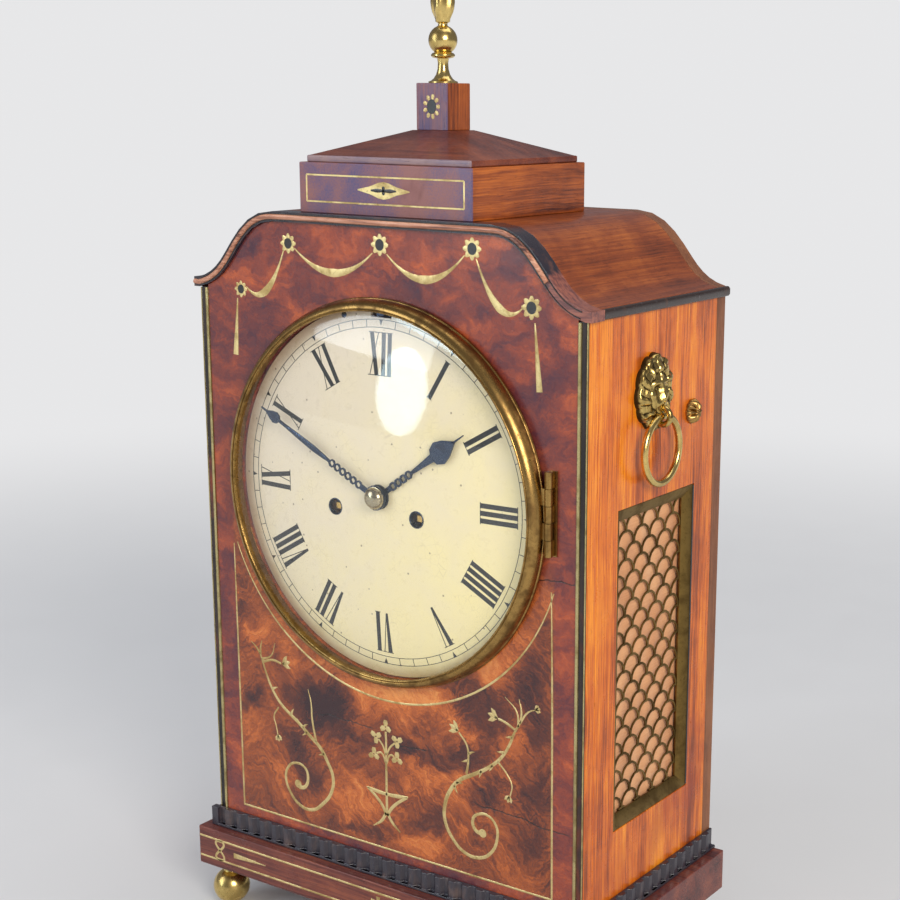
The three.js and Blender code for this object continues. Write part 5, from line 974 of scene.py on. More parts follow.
def around(x, up, count, near, far, *radii, start=90.0):
    """Petals round a point, each from near to far."""
    petals = []
    for k in range(count):
        turn = math.radians(start + 360 * k / count)
        petals.append(on_front([(x + reach * math.cos(turn), up + reach * math.sin(turn))
                                for reach in (near, (near + far) / 2, far)], *radii))
    return petals


def bent(first, last, sag, steps=10):
    """A hanging line between two points, sagging by so much in its middle."""
    (x0, z0), (x1, z1) = first, last
    shares = [k / steps for k in range(steps + 1)]
    return [(x0 + (x1 - x0) * s, z0 + (z1 - z0) * s - sag * 4 * s * (1 - s)) for s in shares]


print("a swag of 30 mm hangs through", len(bent((0, 0), (30, 0), 12)), "points")

# %% The border line
PRESSED = (FACE - 0.12, FACE + 0.4)
BORDER_RADIUS, BORDER_FOOT = 118.3, -208.4
start, end = math.degrees(math.atan2(-44, -113)) + 360, math.degrees(math.atan2(-36, 111)) + 360
turns = [math.radians(start + (end - start) * k / 40) for k in range(41)]
lines = [on_front([(BORDER_RADIUS * math.cos(t), BORDER_RADIUS * math.sin(t)) for t in turns],
                  0.35, 0.64, 0.6, 0.64, 0.35),
         on_front([(-113, -44), (-112.7, -100), (-112.4, -160), (-112.2, -208)], 0.35, 0.6, 0.62, 0.6),
         on_front([(111, -36), (112, -100), (112.3, -160), (112.6, -208)], 0.35, 0.64, 0.6, 0.62),
         on_front([(-112.6, BORDER_FOOT), (-40, -208.5), (40, -208.5), (112.9, BORDER_FOOT)], 0.62, 0.58, 0.62)]
strands(lines, "border_lines", inlay_brass, "case", flat=PRESSED)
print("border lines:", len(lines))

# %% [markdown]
# ## Swags and rosettes above the dial
# Five rosettes, each eight petals round a dark eye, carry crescents of brass like hung cloth, and
# a long drop hangs at each end.

# %% Swags and petals
ROSETTES = [(-100.5, 105.9, 4.2), (-64.1, 133.4, 4.9), (0.5, 136.1, 5.2), (61, 137.4, 5.2), (97.8, 110.1, 5.4)]
SWAGS = [((-96.2, 107.5), (-67.5, 129.5), 12.5), ((-59.5, 131), (-4.5, 131.5), 12),
         ((5.2, 131.5), (56.2, 133.8), 13), ((63.5, 132.5), (92.5, 109.5), 12.5)]
DROPS = [((-103.4, 100.6), (-106.2, 68.2)), ((99.9, 102.6), (102.9, 67.8))]
lines = []
for x, up, reach in ROSETTES:
    lines += around(x, up, 8, reach * 0.6, reach * 1.12, reach * 0.3, reach * 0.28, reach * 0.12)
lines += [on_front(bent(*swag), 0.35, 0.8, 1.7, 2.3, 1.7, 0.8, 0.35) for swag in SWAGS]
for top, tip in DROPS:
    mid = ((top[0] * 2 + tip[0]) / 3, (top[1] * 2 + tip[1]) / 3)
    lines.append(on_front([top, mid, tip], 0.4, 0.9, 1.9))
strands(lines, "swags_and_petals", inlay_brass, "case", flat=PRESSED)
print("swags:", len(SWAGS), "petals and drops:", len(lines) - len(SWAGS))


# %% Rosette plates and eyes
def discs(places, name, finish):
    """Round inlays: (place on the surface, half width, half height) in mm, all facing forward."""
    made = []
    for place, wide, tall in places:
        disc = spun([(0, -0.14), (1, -0.14), (1.03, 0.3), (0, 0.3)], "Y", (0, 0, 0), 32)
        for vertex in disc.data.vertices:
            x, y, z = vertex.co
            vertex.co = (x * wide + place[0] * MM, y + place[1] * MM, z * tall + place[2] * MM)
        made.append(disc)
    return hand_over(joined(*made), name, finish, "case", smooth=30)


discs([((x, FACE + 0.03, DIAL_Z + up), reach * 0.8, reach * 0.8) for x, up, reach in ROSETTES],
      "rosette_plates", inlay_brass)
discs([((x, FACE, DIAL_Z + up), reach * 0.56, reach * 0.6) for x, up, reach in ROSETTES],
      "rosette_eyes", black_wood)
print("rosettes:", len(ROSETTES))

# %% [markdown]
# ## Scrolls below the dial
# Each lower corner has a rambling stem that ends in a tight spiral, with a bell-shaped flower, two
# tendrils and small thorns; between them stands a sprig of five trefoils in a vase. The stems are
# traced as a few points each and Blender's automatic handles round them.


# %% Flowers and thorns
def flower(x, up, lean, size=6.2):
    """Three petals and a cup, opening towards lean degrees."""
    petals = []
    for off in (-38, 0, 38):
        t = math.radians(lean + off)
        petals.append(on_front([(x + reach * math.cos(t), up + reach * math.sin(t))
                                for reach in (0, size * 0.6, size)], 0.7, 1.35, 0.3))
    return petals


def thorn(x, up, lean, size=4.6):
    """A short bent spike that leaves a stem towards lean degrees."""
    t = math.radians(lean)
    return on_front([(x, up), (x + size * math.cos(t) * 0.5, up + size * math.sin(t) * 0.6),
                     (x + size * math.cos(t), up + size * math.sin(t))], 0.9, 0.6, 0.12)


print("petals to a flower:", len(flower(0, 0, 90)))

# %% Stems and tendrils
LEFT_STEM = [
    (-95, -109), (-91, -119.5), (-87.3, -127.5), (-81.3, -135.6), (-75.2, -140.5), (-66.8, -145.6),
    (-57.7, -152.3), (-49.4, -158.5), (-44.3, -166), (-40.7, -173.8), (-41.7, -182.8), (-48.9, -192.7),
    (-57.7, -198.7), (-67, -197.9), (-74, -191.9), (-77.6, -182.6), (-74.9, -175), (-69.3, -171.8),
    (-62.3, -173.3), (-60.1, -178.5), (-62.7, -185.4), (-67.5, -186.6)]
RIGHT_STEM = [
    (91.5, -112), (87.7, -118.6), (85.1, -125), (79.2, -134.4), (70.5, -142.2), (61.8, -147.7), (51.5, -153.7),
    (44.9, -161.2), (41, -171), (40.9, -180), (45.8, -189.3), (54.7, -196.2), (65, -196.5), (72.5, -191.5),
    (76.5, -182.8), (75.9, -174.7), (70.5, -170.2), (65.1, -170.4), (60.3, -174.5), (61.7, -180.5), (66, -182)]
STEM_RADII = 0.6, 1.0, 1.25, 1.1, 0.95, 0.75, 1.3
TENDRILS = [  # points, then the radii along them
    ([(-95, -109), (-98.5, -105), (-102.2, -102.4)], 0.8, 0.5, 0.15),
    ([(-95, -109), (-94.6, -104.5), (-93.4, -100.4)], 0.8, 0.6, 0.2),
    ([(-94, -112), (-86.5, -108.5), (-83.1, -100)], 0.7, 0.5, 0.15),
    ([(-93, -113.5), (-85, -111), (-78.6, -112)], 0.8, 0.7, 0.7),
    ([(-81.7, -139.5), (-85.6, -146), (-84.3, -151.3), (-83, -157)], 0.6, 0.4, 0.4),
    ([(-52.9, -155), (-55.7, -141.4), (-56.2, -131.7), (-58.3, -123.6)], 0.8, 0.6, 0.15),
    ([(56, -149), (57.2, -141), (56.4, -132.6), (51, -126)], 0.8, 0.6, 0.6),
    ([(77, -137), (83.5, -143.4), (86.4, -149), (85.2, -155)], 0.6, 0.4, 0.4),
    ([(90.5, -114.5), (89.4, -106), (81.8, -99.1)], 0.7, 0.5, 0.15),
    ([(91.5, -112), (92.5, -106), (90.9, -98.4)], 0.7, 0.6, 0.15),
    ([(91.5, -112), (97, -104.5), (103.4, -101.8)], 0.7, 0.5, 0.2),
    ([(88.5, -116.5), (82, -113.5), (77.5, -112.5)], 0.7, 0.7, 0.7)]
FLOWERS = [(-77.5, -111.8, 20), (-82.8, -157.4, -80, 3.8), (50.2, -125.2, 155), (84.6, -155.4, -105, 3.8),
           (76.5, -112.2, 165), (101.5, -102.2, 20, 3.2)]
THORNS = [(-86, -129, 25), (-72, -142, 60), (-60, -150.5, 215), (-47, -161, 200), (-63, -148, 35),
          (57.4, -137, 25), (57, -141, 200), (66, -145, 250), (49, -156, 10), (81, -131, 185),
          (73.5, -140, 240), (86.5, -121, 190), (47.5, -158, 300)]
lines = [on_front(points, *radii)
         for points, *radii in [(LEFT_STEM, *STEM_RADII), (RIGHT_STEM, *STEM_RADII)] + TENDRILS]
for place in FLOWERS:
    lines += flower(*place)
lines += [thorn(*place) for place in THORNS]
strands(lines, "corner_scrolls", inlay_brass, "case", flat=PRESSED)
print("scroll strands:", len(lines))

# %% The vase with its five trefoils
TREFOILS = [(-0.7, -134.2, 90), (-7.8, -141.4, 150), (7.5, -141.1, 30), (-9.5, -152.4, 210), (7.3, -151.6, 330)]
STALKS_AND_VASE = [
    ([(-0.7, -137), (-0.5, -143), (-0.6, -150), (-0.6, -186)], 0.6, 0.6, 0.6, 0.75),
    ([(-6, -142.5), (-2.8, -146), (-1, -151)], 0.5, 0.5),
    ([(6, -142.3), (2.2, -146), (-0.2, -151)], 0.5, 0.5),
    ([(-7.5, -151.4), (-4, -150.5), (-1, -156)], 0.5, 0.5),
    ([(5.4, -150.8), (2.6, -150.4), (-0.2, -156)], 0.5, 0.5),
    ([(-15.3, -173.6), (-8, -174.6), (0, -174.8), (8, -174.2), (15, -173)], 0.35, 1.0, 0.8, 1.0, 0.35),
    ([(-14.6, -173.9), (-8.5, -178), (-3.5, -183), (-1, -188)], 0.6, 0.9, 0.8),
    ([(14.3, -173.5), (8, -177.8), (2.6, -183), (-0.3, -188)], 0.6, 0.9, 0.8),
    ([(-1.2, -186.5), (-4.6, -192), (-10.6, -196.4)], 0.9, 0.8, 0.3),
    ([(-0.3, -186.5), (3.4, -191.6), (8.9, -195.9)], 0.9, 0.8, 0.3)]
lines = []
for x, up, start in TREFOILS:
    lines += around(x, up, 3, 0.4, 4.1, 0.9, 1.4, 0.9, start=start)
lines += [on_front(points, *radii) for points, *radii in STALKS_AND_VASE]
strands([[(place, r * 1.2) for place, r in line] for line in lines], "vase_and_trefoils", inlay_brass, "case",
        flat=PRESSED)
discs([((-67.9, FACE, DIAL_Z - 184.6), 2.5, 2.5), ((66.9, FACE, DIAL_Z - 181.4), 2.5, 2.5)],
      "spiral_ends", inlay_brass)
print("vase strands:", len(lines))

# %% [markdown]
# ## Lines on the corners, plinth, caddy and finial block
# Fine brass strings run down both edges of the black corner strips and round the plinth and the
# caddy; the caddy has a lozenge with a dark four-leaf, the finial block one more rosette.


# %% Strings of the corner strips
def level_line(y, points, *radii):
    """(x, z) points on a face at y, each with its radius; the last radius serves for the rest."""
    return [((x, y, z), radii[min(k, len(radii) - 1)]) for k, (x, z) in enumerate(points)]


STRING_HEIGHTS = 53, 160, 270, 383.5
lines = []
for side in (-1, 1):
    for x, radius in ((127.1, 1.05), (131.5, 0.4)):
        lines.append(level_line(FACE, [(side * x, z) for z in STRING_HEIGHTS], radius))
strands(lines, "corner_strings", strip_brass, "case", flat=(FACE - 0.75, FACE + 0.6), bevel=3)
print("corner strings:", len(lines))

# %% Lines of the plinth
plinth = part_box("base_plinth")[0].y / MM
MIDDLE_LINE = DIAL_Z - 238.6
lines = [level_line(plinth, [(x, DIAL_Z + up) for x in (-141, -50, 50, 141)], 0.6) for up in (-232, -245)]
for side in (-1, 1):
    turns = [math.tau * k / 20 for k in range(21)]
    eight = [(side * (124.6 + 3.4 * math.sin(2 * t)), MIDDLE_LINE + 6.2 * math.cos(t)) for t in turns]
    lines.append(level_line(plinth, eight, 0.8))
    needle = [(side * 113, MIDDLE_LINE - 0.2), (side * 104, MIDDLE_LINE - 0.1), (side * 87, MIDDLE_LINE)]
    lines.append(level_line(plinth, needle, 1.7, 1.2, 0.25))
for t in (90, 0, 180, 270):
    a, b = math.cos(math.radians(t)), math.sin(math.radians(t))
    petal = [(1.4 * a, DIAL_Z - 238 + 1.4 * b), (5.2 * a, DIAL_Z - 238 + 3.8 * b)]
    lines.append(level_line(plinth, petal, 1.0, 1.6))
strands(lines, "plinth_lines", inlay_brass, "case", flat=(plinth - 0.12, plinth + 0.4))
print("plinth lines:", len(lines))

# %% Lines, lozenge and four-leaf of the caddy
low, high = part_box("caddy_block")
front, mid = low.y / MM, (high.z / MM + low.z / MM) / 2
inner_x, inner_top, inner_foot = high.x / MM - 5.2, high.z / MM - 6.6, low.z / MM + 6.2
FRAMES = [[(-inner_x, inner_top), (0, inner_top), (inner_x, inner_top)],
          [(-inner_x, inner_foot), (0, inner_foot), (inner_x, inner_foot)],
          [(-inner_x, inner_foot), (-inner_x, mid), (-inner_x, inner_top)],
          [(inner_x, inner_foot), (inner_x, mid), (inner_x, inner_top)]]
strands([level_line(front, points, 0.5) for points in FRAMES], "caddy_lines", inlay_brass, "case",
        flat=(front - 0.12, front + 0.4))
LOZENGE = [(-17.5, -0.3), (-9, -2.1), (-3.5, -4.0), (0, -4.6), (3.5, -4.0), (9, -2.1), (17.5, -0.3)]
OFF_MIDDLE = 0.4
lozenge = plate(LOZENGE + [(-x, -up) for x, up in LOZENGE], 0.3)
lozenge.location = Vector((OFF_MIDDLE, front + 0.05, mid)) * MM
hand_over(lozenge, "caddy_lozenge", inlay_brass, "case")
leaves = [level_line(front, [(OFF_MIDDLE, mid), (OFF_MIDDLE + 4.6 * a, mid + 1.6 * b),
                             (OFF_MIDDLE + 8.6 * a, mid + 2.3 * b)], 0.9, 1.3, 0.5)
          for a, b in ((1, 0), (-1, 0), (0, 1), (0, -1))]
strands(leaves, "caddy_four_leaf", black_wood, "case", flat=(front - 0.16, front + 0.4))
print("caddy lines:", len(FRAMES), "leaves:", len(leaves))

# %% Rosette of the finial block
low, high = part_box("finial_block")
front, mid = low.y / MM, (low.z + high.z) / 2 / MM
lines = []
for k in range(9):
    a, b = math.cos(math.tau * k / 9), math.sin(math.tau * k / 9)
    petal = [(wide * a, mid + tall * b) for wide, tall in ((3.3, 3.9), (4.7, 5.5), (5.7, 6.6))]
    lines.append(level_line(front, petal, 0.8, 1.2, 0.7))
strands(lines, "block_rosette", inlay_brass, "case", flat=(front - 0.12, front + 0.4))
discs([((0, front, mid), 3.0, 3.9)], "block_rosette_eye", black_wood)
print("petals on the finial block:", len(lines))

# %% [markdown]
# ## The edge moulding
# An ebonised moulding follows the front's outline over both shoulders. A thin rounded bead, pale tan
# partly of its own and partly as a painted highlight, runs along its middle between two black strands of
# painted groove shadow; at the right shoulder the bead has been lost for a few centimetres, which leaves
# bare brown wood. The imported moulding is eased, and the bead is a bevelled curve through points of the same
# shoulder.

# %% Edge moulding
BEAD_LOST_FROM, BEAD_LOST_TO = 108.0, 110.5
edge_wood = Finish("edge_moulding_wood", "mahogany", Coat_Weight=0.3, Coat_Roughness=0.2)
grain = edge_wood.noise(edge_wood.place(size=(14, 1.4, 2.2)), 4, 0.6)
patches = edge_wood.noise(edge_wood.even(11), 5, 0.68, 0.5)
place_x = edge_wood.part(edge_wood.here(), "X") / MM
bare = (place_x + (patches - 0.5) * 8).spread(BEAD_LOST_FROM, BEAD_LOST_TO)
stained = edge_wood.mix(patches.spread(0.5, 0.68) * 0.7, rgb(34, 28, 38), rgb(96, 58, 46))
brown = edge_wood.mix(grain.spread(0.35, 0.65), rgb(96, 50, 48), rgb(148, 86, 68))
edge_wood.put(Base_Color=edge_wood.mix(bare, stained, brown),
              Roughness=patches.spread(0.3, 0.7, 0.22, 0.42) + bare * 0.1,
              Normal=edge_wood.bump(grain * 0.5 + patches * 0.6, 0.1, 0.7))
edge = eased("top_edge_moulding", edge_wood.material, 0.5)
print("edge moulding faces:", len(edge.data.polygons))

# %% The outline of a shoulder
SHOULDER = [(-58, 39.5), (-40, 39.5), (-31, 26.5), (-21.5, 14.5), (-16, 7.5), (-10, 2), (0, 0)]


def shoulder_points(inset, count=12):
    """The right shoulder from the top's middle out to the lip, moved in from the outline."""
    points = []
    a, b, c, d, e, f, g = [Vector((HALF + u, LIP + v, 0)) for u, v in SHOULDER]
    for p, q, r, s in ((a, b, c, d), (d, e, f, g)):
        for k in range(count + 1):
            t = k / count
            place = p * (1 - t) ** 3 + q * 3 * t * (1 - t) ** 2 + r * 3 * t * t * (1 - t) + s * t ** 3
            run = ((q - p) * (1 - t) ** 2 + (r - q) * 2 * t * (1 - t) + (s - r) * t * t).normalized()
            if not points or k:
                points.append((place.x + inset * run.y, place.y - inset * run.x))
    return points


print("points of a shoulder:", len(shoulder_points(0)))

# %% Bead, and dark strands as painted shadow in the grooves
# The bead's pale tan is partly the wood's own colour and partly a painted highlight.
bead_wood_with_painted_highlight = mahogany("bead_pale_with_painted_highlight", "mahogany", "x", rgb(214, 164, 136), rgb(176, 118, 92),
                     rgb(70, 42, 40), rgb(60, 40, 44), 1.1, 0.28)
BEAD_INSET, BEAD_RADIUS, BEAD_END, GROOVE_END = 2.9, 1.45, 109, 131
right_side = shoulder_points(BEAD_INSET)
left_side = [(-x, z) for x, z in reversed(right_side)]
left_side += [(right_side[0][0] * t, right_side[0][1]) for t in (-0.6, 0, 0.6)]
kept_side = [(x, z) for x, z in right_side if x < BEAD_END]
bead = [((x, FACE - 2.0, z), BEAD_RADIUS) for x, z in [(-134.4, LIP - 2.6)] + left_side + kept_side]
strands([bead], "edge_bead", bead_wood_with_painted_highlight, "case", smooth=50, bevel=3)
# The two black strands beside the bead are painted shadow in the moulding's grooves.
for name, inset, radius in (("edge_groove_outer", 1.15, 0.4), ("edge_groove_inner", 4.6, 0.35)):
    run = shoulder_points(inset)
    run = [(-x, z) for x, z in reversed(run)] + [(0, run[0][1])] + run
    groove = [((x, FACE - 1.95, z), radius) for x, z in run if abs(x) < GROOVE_END]
    strands([groove], name, black_wood, "case", smooth=50)
print("edge bead ends at x", round(bead[-1][0][0], 1))

# %% [markdown]
# ## Hands
# The hands are blued steel plates, sawn out: a boss, a row of little rings, a long tapering bar and
# a heart or spade near the tip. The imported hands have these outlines, so they are kept and their
# edges are eased, which gives the light edge that polished steel shows. The bars are a little
# fuller than a plain strip, so a pressed strand is laid along each. The collet is a turned dome.

# %% Hands
BARS = {  # angle from twelve, the body it rides on, then (distance from the middle, radius) along it
    "hour": (54.75, "hour_group", [(28.2, 0.8), (31, 1.2), (39, 1.75), (46, 2.4)]),
    "minute": (297.0, "minute_group", [(36.6, 0.8), (40, 1.2), (49, 1.7), (60, 1.45), (71, 1.0), (80, 0.7)])}
eased("hour_hand", blued_steel, 0.16, sharp=25)
eased("minute_hand", blued_steel, 0.14, sharp=25)
for name, (angle, body, bar) in BARS.items():
    low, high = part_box(name + "_hand")
    u, v = math.sin(math.radians(angle)), math.cos(math.radians(angle))
    points = [((r * u, (low.y + high.y) / 2 / MM, DIAL_Z + r * v), wide) for r, wide in bar]
    strands([points], name + "_bar", blued_steel, body, flat=(low.y / MM - 0.1, high.y / MM), bevel=3)
print("hands:", list(BARS))

# %% Collet, lever and dial screw
COLLET = [(0, -4.6), (1.6, -4.5), (3.1, -4.1), (4.4, -3.4), (5.3, -2.5), (5.8, -1.6), (6.0, -1.0), (6.35, -0.9),
          (6.4, -0.5), (6.4, 0), (0, 0)]
SCREW = [(0, -0.9), (0.9, -0.8), (1.6, -0.35), (1.8, 0.2), (0, 0.2)]
SCREW_X, SCREW_UP = -26, 97
collet = spun(COLLET, "Y", (0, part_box("hand_collet")[1].y / MM, DIAL_Z), 48)
collet_brass = metal("polished_collet", "brass", rgb(190, 178, 148), rgb(136, 122, 92), rgb(66, 54, 36), 0.5, 0.16)
hand_over(collet, "collet_turned", collet_brass, "minute_group", "hand_collet", smooth=35)
eased("strike_silent_lever", blued_steel, 0.1)
screw = spun(SCREW, "Y", (SCREW_X, FACE + dial_rise(math.hypot(SCREW_X, SCREW_UP)), DIAL_Z + SCREW_UP), 24)
hand_over(screw, "dial_screw", blued_steel, "case", smooth=40)
print("collet faces:", len(collet.data.polygons))

# %% [markdown]
# ## Silk behind the frets
# Behind each pierced fret a piece of silk is stretched, to let the sound out and keep the dust
# from the movement. It is one flat sheet, held all round by the fret's frame, with small puckers
# between its tacks. A fine grid is enough here, because stretched cloth barely leaves its plane:
# its vertices are moved by three slow waves that die away towards the edges.

# %% Silk sheets
for side, node in ((-1, "left"), (1, "right")):
    low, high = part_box("fret_silk_" + node)
    middle, size = (low + high) / 2, high - low
    bpy.ops.mesh.primitive_grid_add(x_subdivisions=60, y_subdivisions=130, size=1, location=(0, 0, 0))
    sheet = bpy.context.active_object
    sheet.scale = (size.y, size.z, 1)
    bpy.ops.object.transform_apply(scale=True, location=False, rotation=False)
    for vertex in sheet.data.vertices:
        u, v = vertex.co.x / size.y + 0.5, vertex.co.y / size.z + 0.5
        free = min(1, 12 * u * (1 - u)) * min(1, 24 * v * (1 - v))
        wave = math.sin(34 * u + 2.2 * math.sin(7 * v)) * 0.16
        wave += math.sin(9 * u + 5 * v) * 0.14 + math.sin(23 * v) * 0.05
        vertex.co = (middle.x - side * 0.2 * MM + wave * free * MM,
                     middle.y + vertex.co.x * side, middle.z + vertex.co.y)
    hand_over(sheet, "silk_" + node, silk, "case", "fret_silk_" + node, smooth=180)
    "fret_" + node
print("silk sheets:", [round(v / MM, 1) for v in (size.y, size.z)])

# %% [markdown]
# ## Frets of overlapping scales
# A fret like this is a brass plate, pierced with a saw so that rows of round-topped scales seem to
# lap over each other, inside a frame that slopes inwards. The frame is a plane with two insets,
# the second one sunk, whose middle is deleted and whose wall gets a thickness. The scales are
# pressed strands, half a step aside in every other row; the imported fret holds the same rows.

# %% The fret's frame
ACROSS, UP, FRAME, LIP_EDGE = 8.25, 165 / 21, 7.0, 1.2
SINK, PLATE = 3.4, 1.1


def fret_frame(side, wall, middle, size):
    """A sloping brass frame on the wall plane, open in its middle."""
    bpy.ops.mesh.primitive_plane_add(size=1, location=(wall - side * 0.4 * MM, middle.y, middle.z),
                                     rotation=(0, side * math.pi / 2, 0))
    border = bpy.context.active_object
    border.scale = (size.z, size.y, 1)
    bpy.ops.object.transform_apply(location=False, rotation=False, scale=True)
    bpy.ops.object.mode_set(mode="EDIT")
    bpy.ops.mesh.select_all(action="SELECT")
    bpy.ops.mesh.inset(thickness=LIP_EDGE * MM)
    bpy.ops.mesh.inset(thickness=(FRAME - LIP_EDGE) * MM, depth=-SINK * MM)
    bpy.ops.mesh.delete(type="ONLY_FACE")
    bpy.ops.mesh.select_all(action="SELECT")
    bpy.ops.mesh.solidify(thickness=PLATE * MM)
    bpy.ops.mesh.normals_make_consistent(inside=False)
    bpy.ops.object.mode_set(mode="OBJECT")
    return border


print("a fret's frame is", FRAME, "mm wide and", SINK, "mm deep")


# %% Scales inside the frame
def scale_lines(half, foot_z):
    """Rows of half-round scales, cut off at the frame, as lists of (y from the middle, z)."""
    scales = []
    for row in range(-1, 21):
        for column in range(-2, 3):
            centre_y = (column + 0.5 * (row % 2)) * 2 * ACROSS
            turns = [math.pi * k / 8 for k in range(9)]
            scale = [(centre_y + ACROSS * math.cos(t), foot_z + row * UP + (UP + 0.9) * math.sin(t) ** 0.85)
                     for t in turns]
            scale = [(y, z) for y, z in scale if abs(y) <= half + 1 and foot_z - 1 <= z <= foot_z + 166]
            if len(scale) > 2:
                scales.append(scale)
    return scales


for side, node in ((-1, "left"), (1, "right")):
    low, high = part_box("fret_" + node)
    middle, size = (low + high) / 2, high - low
    wall, inner = (high.x, low.x) if side > 0 else (low.x, high.x)
    border = fret_frame(side, wall, middle, size)
    lines = [[((inner / MM + side * 0.9, middle.y / MM + y, z), 0.7) for y, z in scale]
             for scale in scale_lines(size.y / 2 / MM - FRAME, low.z / MM + FRAME)]
    scales = strands(lines, "fret_scales_" + node, None, None, axis="X", bevel=1, fine=1,
                     flat=sorted((inner / MM + side * 0.1, inner / MM + side * 1.45)))
    hand_over(joined(border, scales), "fret_and_frame_" + node, fret_brass, "case", "fret_" + node, smooth=40)
    # A black strand along the frame's rear edge is painted shadow in the gap between frame and side board.
    x, y = wall / MM - side * 0.3, high.y / MM - 0.2
    gap = [((x, y, low.z / MM + 0.5), 0.55), ((x, y, high.z / MM - 0.5), 0.7)]
    strands([gap], "fret_gap_" + node, black_wood, "case", axis="X",
            flat=sorted((wall / MM - side * 1, wall / MM + side * 0.04)))
print("scales:", len(lines), "fret faces:", len(border.data.polygons))

# %% [markdown]
# ## Lion-mask handles
# Each handle is a cast lion's mask with a ring hanging from an eye at its mouth. A mask like this is
# carved once, cast many times, and chased. Here it starts as a disc of rings and spokes, and each
# vertex is lifted by a sum of soft hills and hollows: muzzle, nose, brows, eyes, cheeks, and two
# rows of mane locks that also scallop the outline. How hollow each place is gets stored on the mesh,
# so that dirt collects there.


# %% Mask relief
HILLS = [  # height, then place across and up, and width and height; a hollow's height is below nought
    (2.6, 0, 1.5, 2.3, 5.4), (2.2, 0, -2.6, 2.6, 2.4),  # nose and its tip
    (1.7, 4.3, 6.2, 3.0, 1.5), (-1.5, 3.9, 3.1, 1.9, 1.2), (0.9, 3.9, 3.0, 0.9, 0.7),  # brows, sockets, eyes
    (1.9, 3.1, -5.4, 2.7, 2.5), (1.0, 6.6, -1.0, 2.2, 3.2), (-1.1, 0, -5.2, 0.5, 2.4),  # muzzle, cheeks, lip
    (1.4, 0, 10.6, 2.6, 3.4), (-0.7, 1.4, 9.5, 0.5, 3.0),  # forelock and its parting
    (2.6, 0, -11.6, 4.2, 3.4)]  # chin, which carries the eye
MANE_FROM, INNER_LOCKS, OUTER_LOCKS = 0.5, 0.70, 0.93


def ridge(x, at, wide):
    return math.exp(-((x - at) / wide) ** 2)


def mask_relief(u, v, rho, turn):
    """Height in mm above the side board at u across and v up from the mask's middle."""
    height = 2.6 + 3.6 * (1 - rho ** 2.4)
    if rho > MANE_FROM:
        locks = max(0, math.cos(11 * turn - 5.5 * rho)) ** 0.7
        rows = 1.1 * ridge(rho, INNER_LOCKS, 0.09) + 0.6 * ridge(rho, OUTER_LOCKS, 0.07)
        height += min(1, (rho - MANE_FROM) / 0.08) * (0.9 * locks + rows)
    height -= 0.8 * ridge(rho, 0.545, 0.035) * (1 - 0.6 * max(0, -math.sin(turn)))
    return height + sum(lift * ridge(abs(u), at_u, wide) * ridge(v, at_v, tall)
                        for lift, at_u, at_v, wide, tall in HILLS)


print("hills and hollows of a mask:", len(HILLS), "nose height", round(mask_relief(0, 1.5, 0.07, 1.57), 1))


# %% Model a mask
SPOKES, RINGS, RING_STEP = 176, 44, 0.93
MASK_Z, HALF_TALL = 340.75, 21.2


def spoked_disc():
    """A flat disc of rings and spokes, finer towards its middle."""
    bpy.ops.mesh.primitive_circle_add(vertices=SPOKES, radius=1, fill_type="NOTHING", location=(0, 0, 0))
    bpy.ops.object.mode_set(mode="EDIT")
    bpy.ops.mesh.select_all(action="SELECT")
    for _ in range(RINGS):
        bpy.ops.mesh.extrude_region_move()
        bpy.ops.transform.resize(value=(RING_STEP,) * 3, center_override=(0, 0, 0))
    bpy.ops.mesh.merge(type="CENTER")
    bpy.ops.object.mode_set(mode="OBJECT")
    return bpy.context.active_object


def store_hollows(mask, heights):
    """Writes how far each vertex lies below its neighbours, and the flat rim as half hollow."""
    near = [[] for _ in heights]
    for edge in mask.data.edges:
        a, b = edge.vertices
        near[a].append(heights[b])
        near[b].append(heights[a])
    sink = [max(0.0, sum(n) / len(n) - h) for n, h in zip(near, heights)]
    hollow = mask.data.attributes.new("hollow", "FLOAT", "POINT")
    hollow.data.foreach_set("value", [min(1.0, s * 9 + (0.5 if h < 1.0 else 0.0)) for s, h in zip(sink, heights)])


def lion_mask(side, name):
    low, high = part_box("handle_mask_" + name)
    middle_y, half_wide = (low + high).y / 2, (high.y - low.y) / 2 / MM
    wall = (low.x if side > 0 else high.x) / MM
    mask = spoked_disc()
    reach = sorted({round(v.co.length, 4) for v in mask.data.vertices})
    heights = []
    for vertex in mask.data.vertices:
        rho = reach.index(round(vertex.co.length, 4)) / (len(reach) - 1)
        turn = math.atan2(vertex.co.y, vertex.co.x)
        above_it, below_it = max(0, math.sin(turn)), max(0, -math.sin(turn))
        edge = 0.93 + 0.07 * abs(math.cos(5.5 * turn - 2.75)) ** 0.8 - 0.05 * below_it ** 2
        narrow = 1 - 0.16 * below_it ** 3 - 0.05 * above_it ** 4
        u = half_wide * rho * edge * narrow * math.cos(turn)
        v = HALF_TALL * rho * edge * math.sin(turn)
        heights.append(mask_relief(u, v, rho, turn) if rho < 0.995 else 0.0)
        vertex.co = ((wall + side * heights[-1]) * MM, middle_y - side * u * MM, (MASK_Z + v) * MM)
    store_hollows(mask, heights)
    bpy.ops.object.mode_set(mode="EDIT")
    bpy.ops.mesh.select_all(action="SELECT")
    bpy.ops.mesh.normals_make_consistent(inside=False)
    bpy.ops.object.mode_set(mode="OBJECT")
    return mask


print("a mask has", SPOKES, "spokes and", RINGS, "rings")

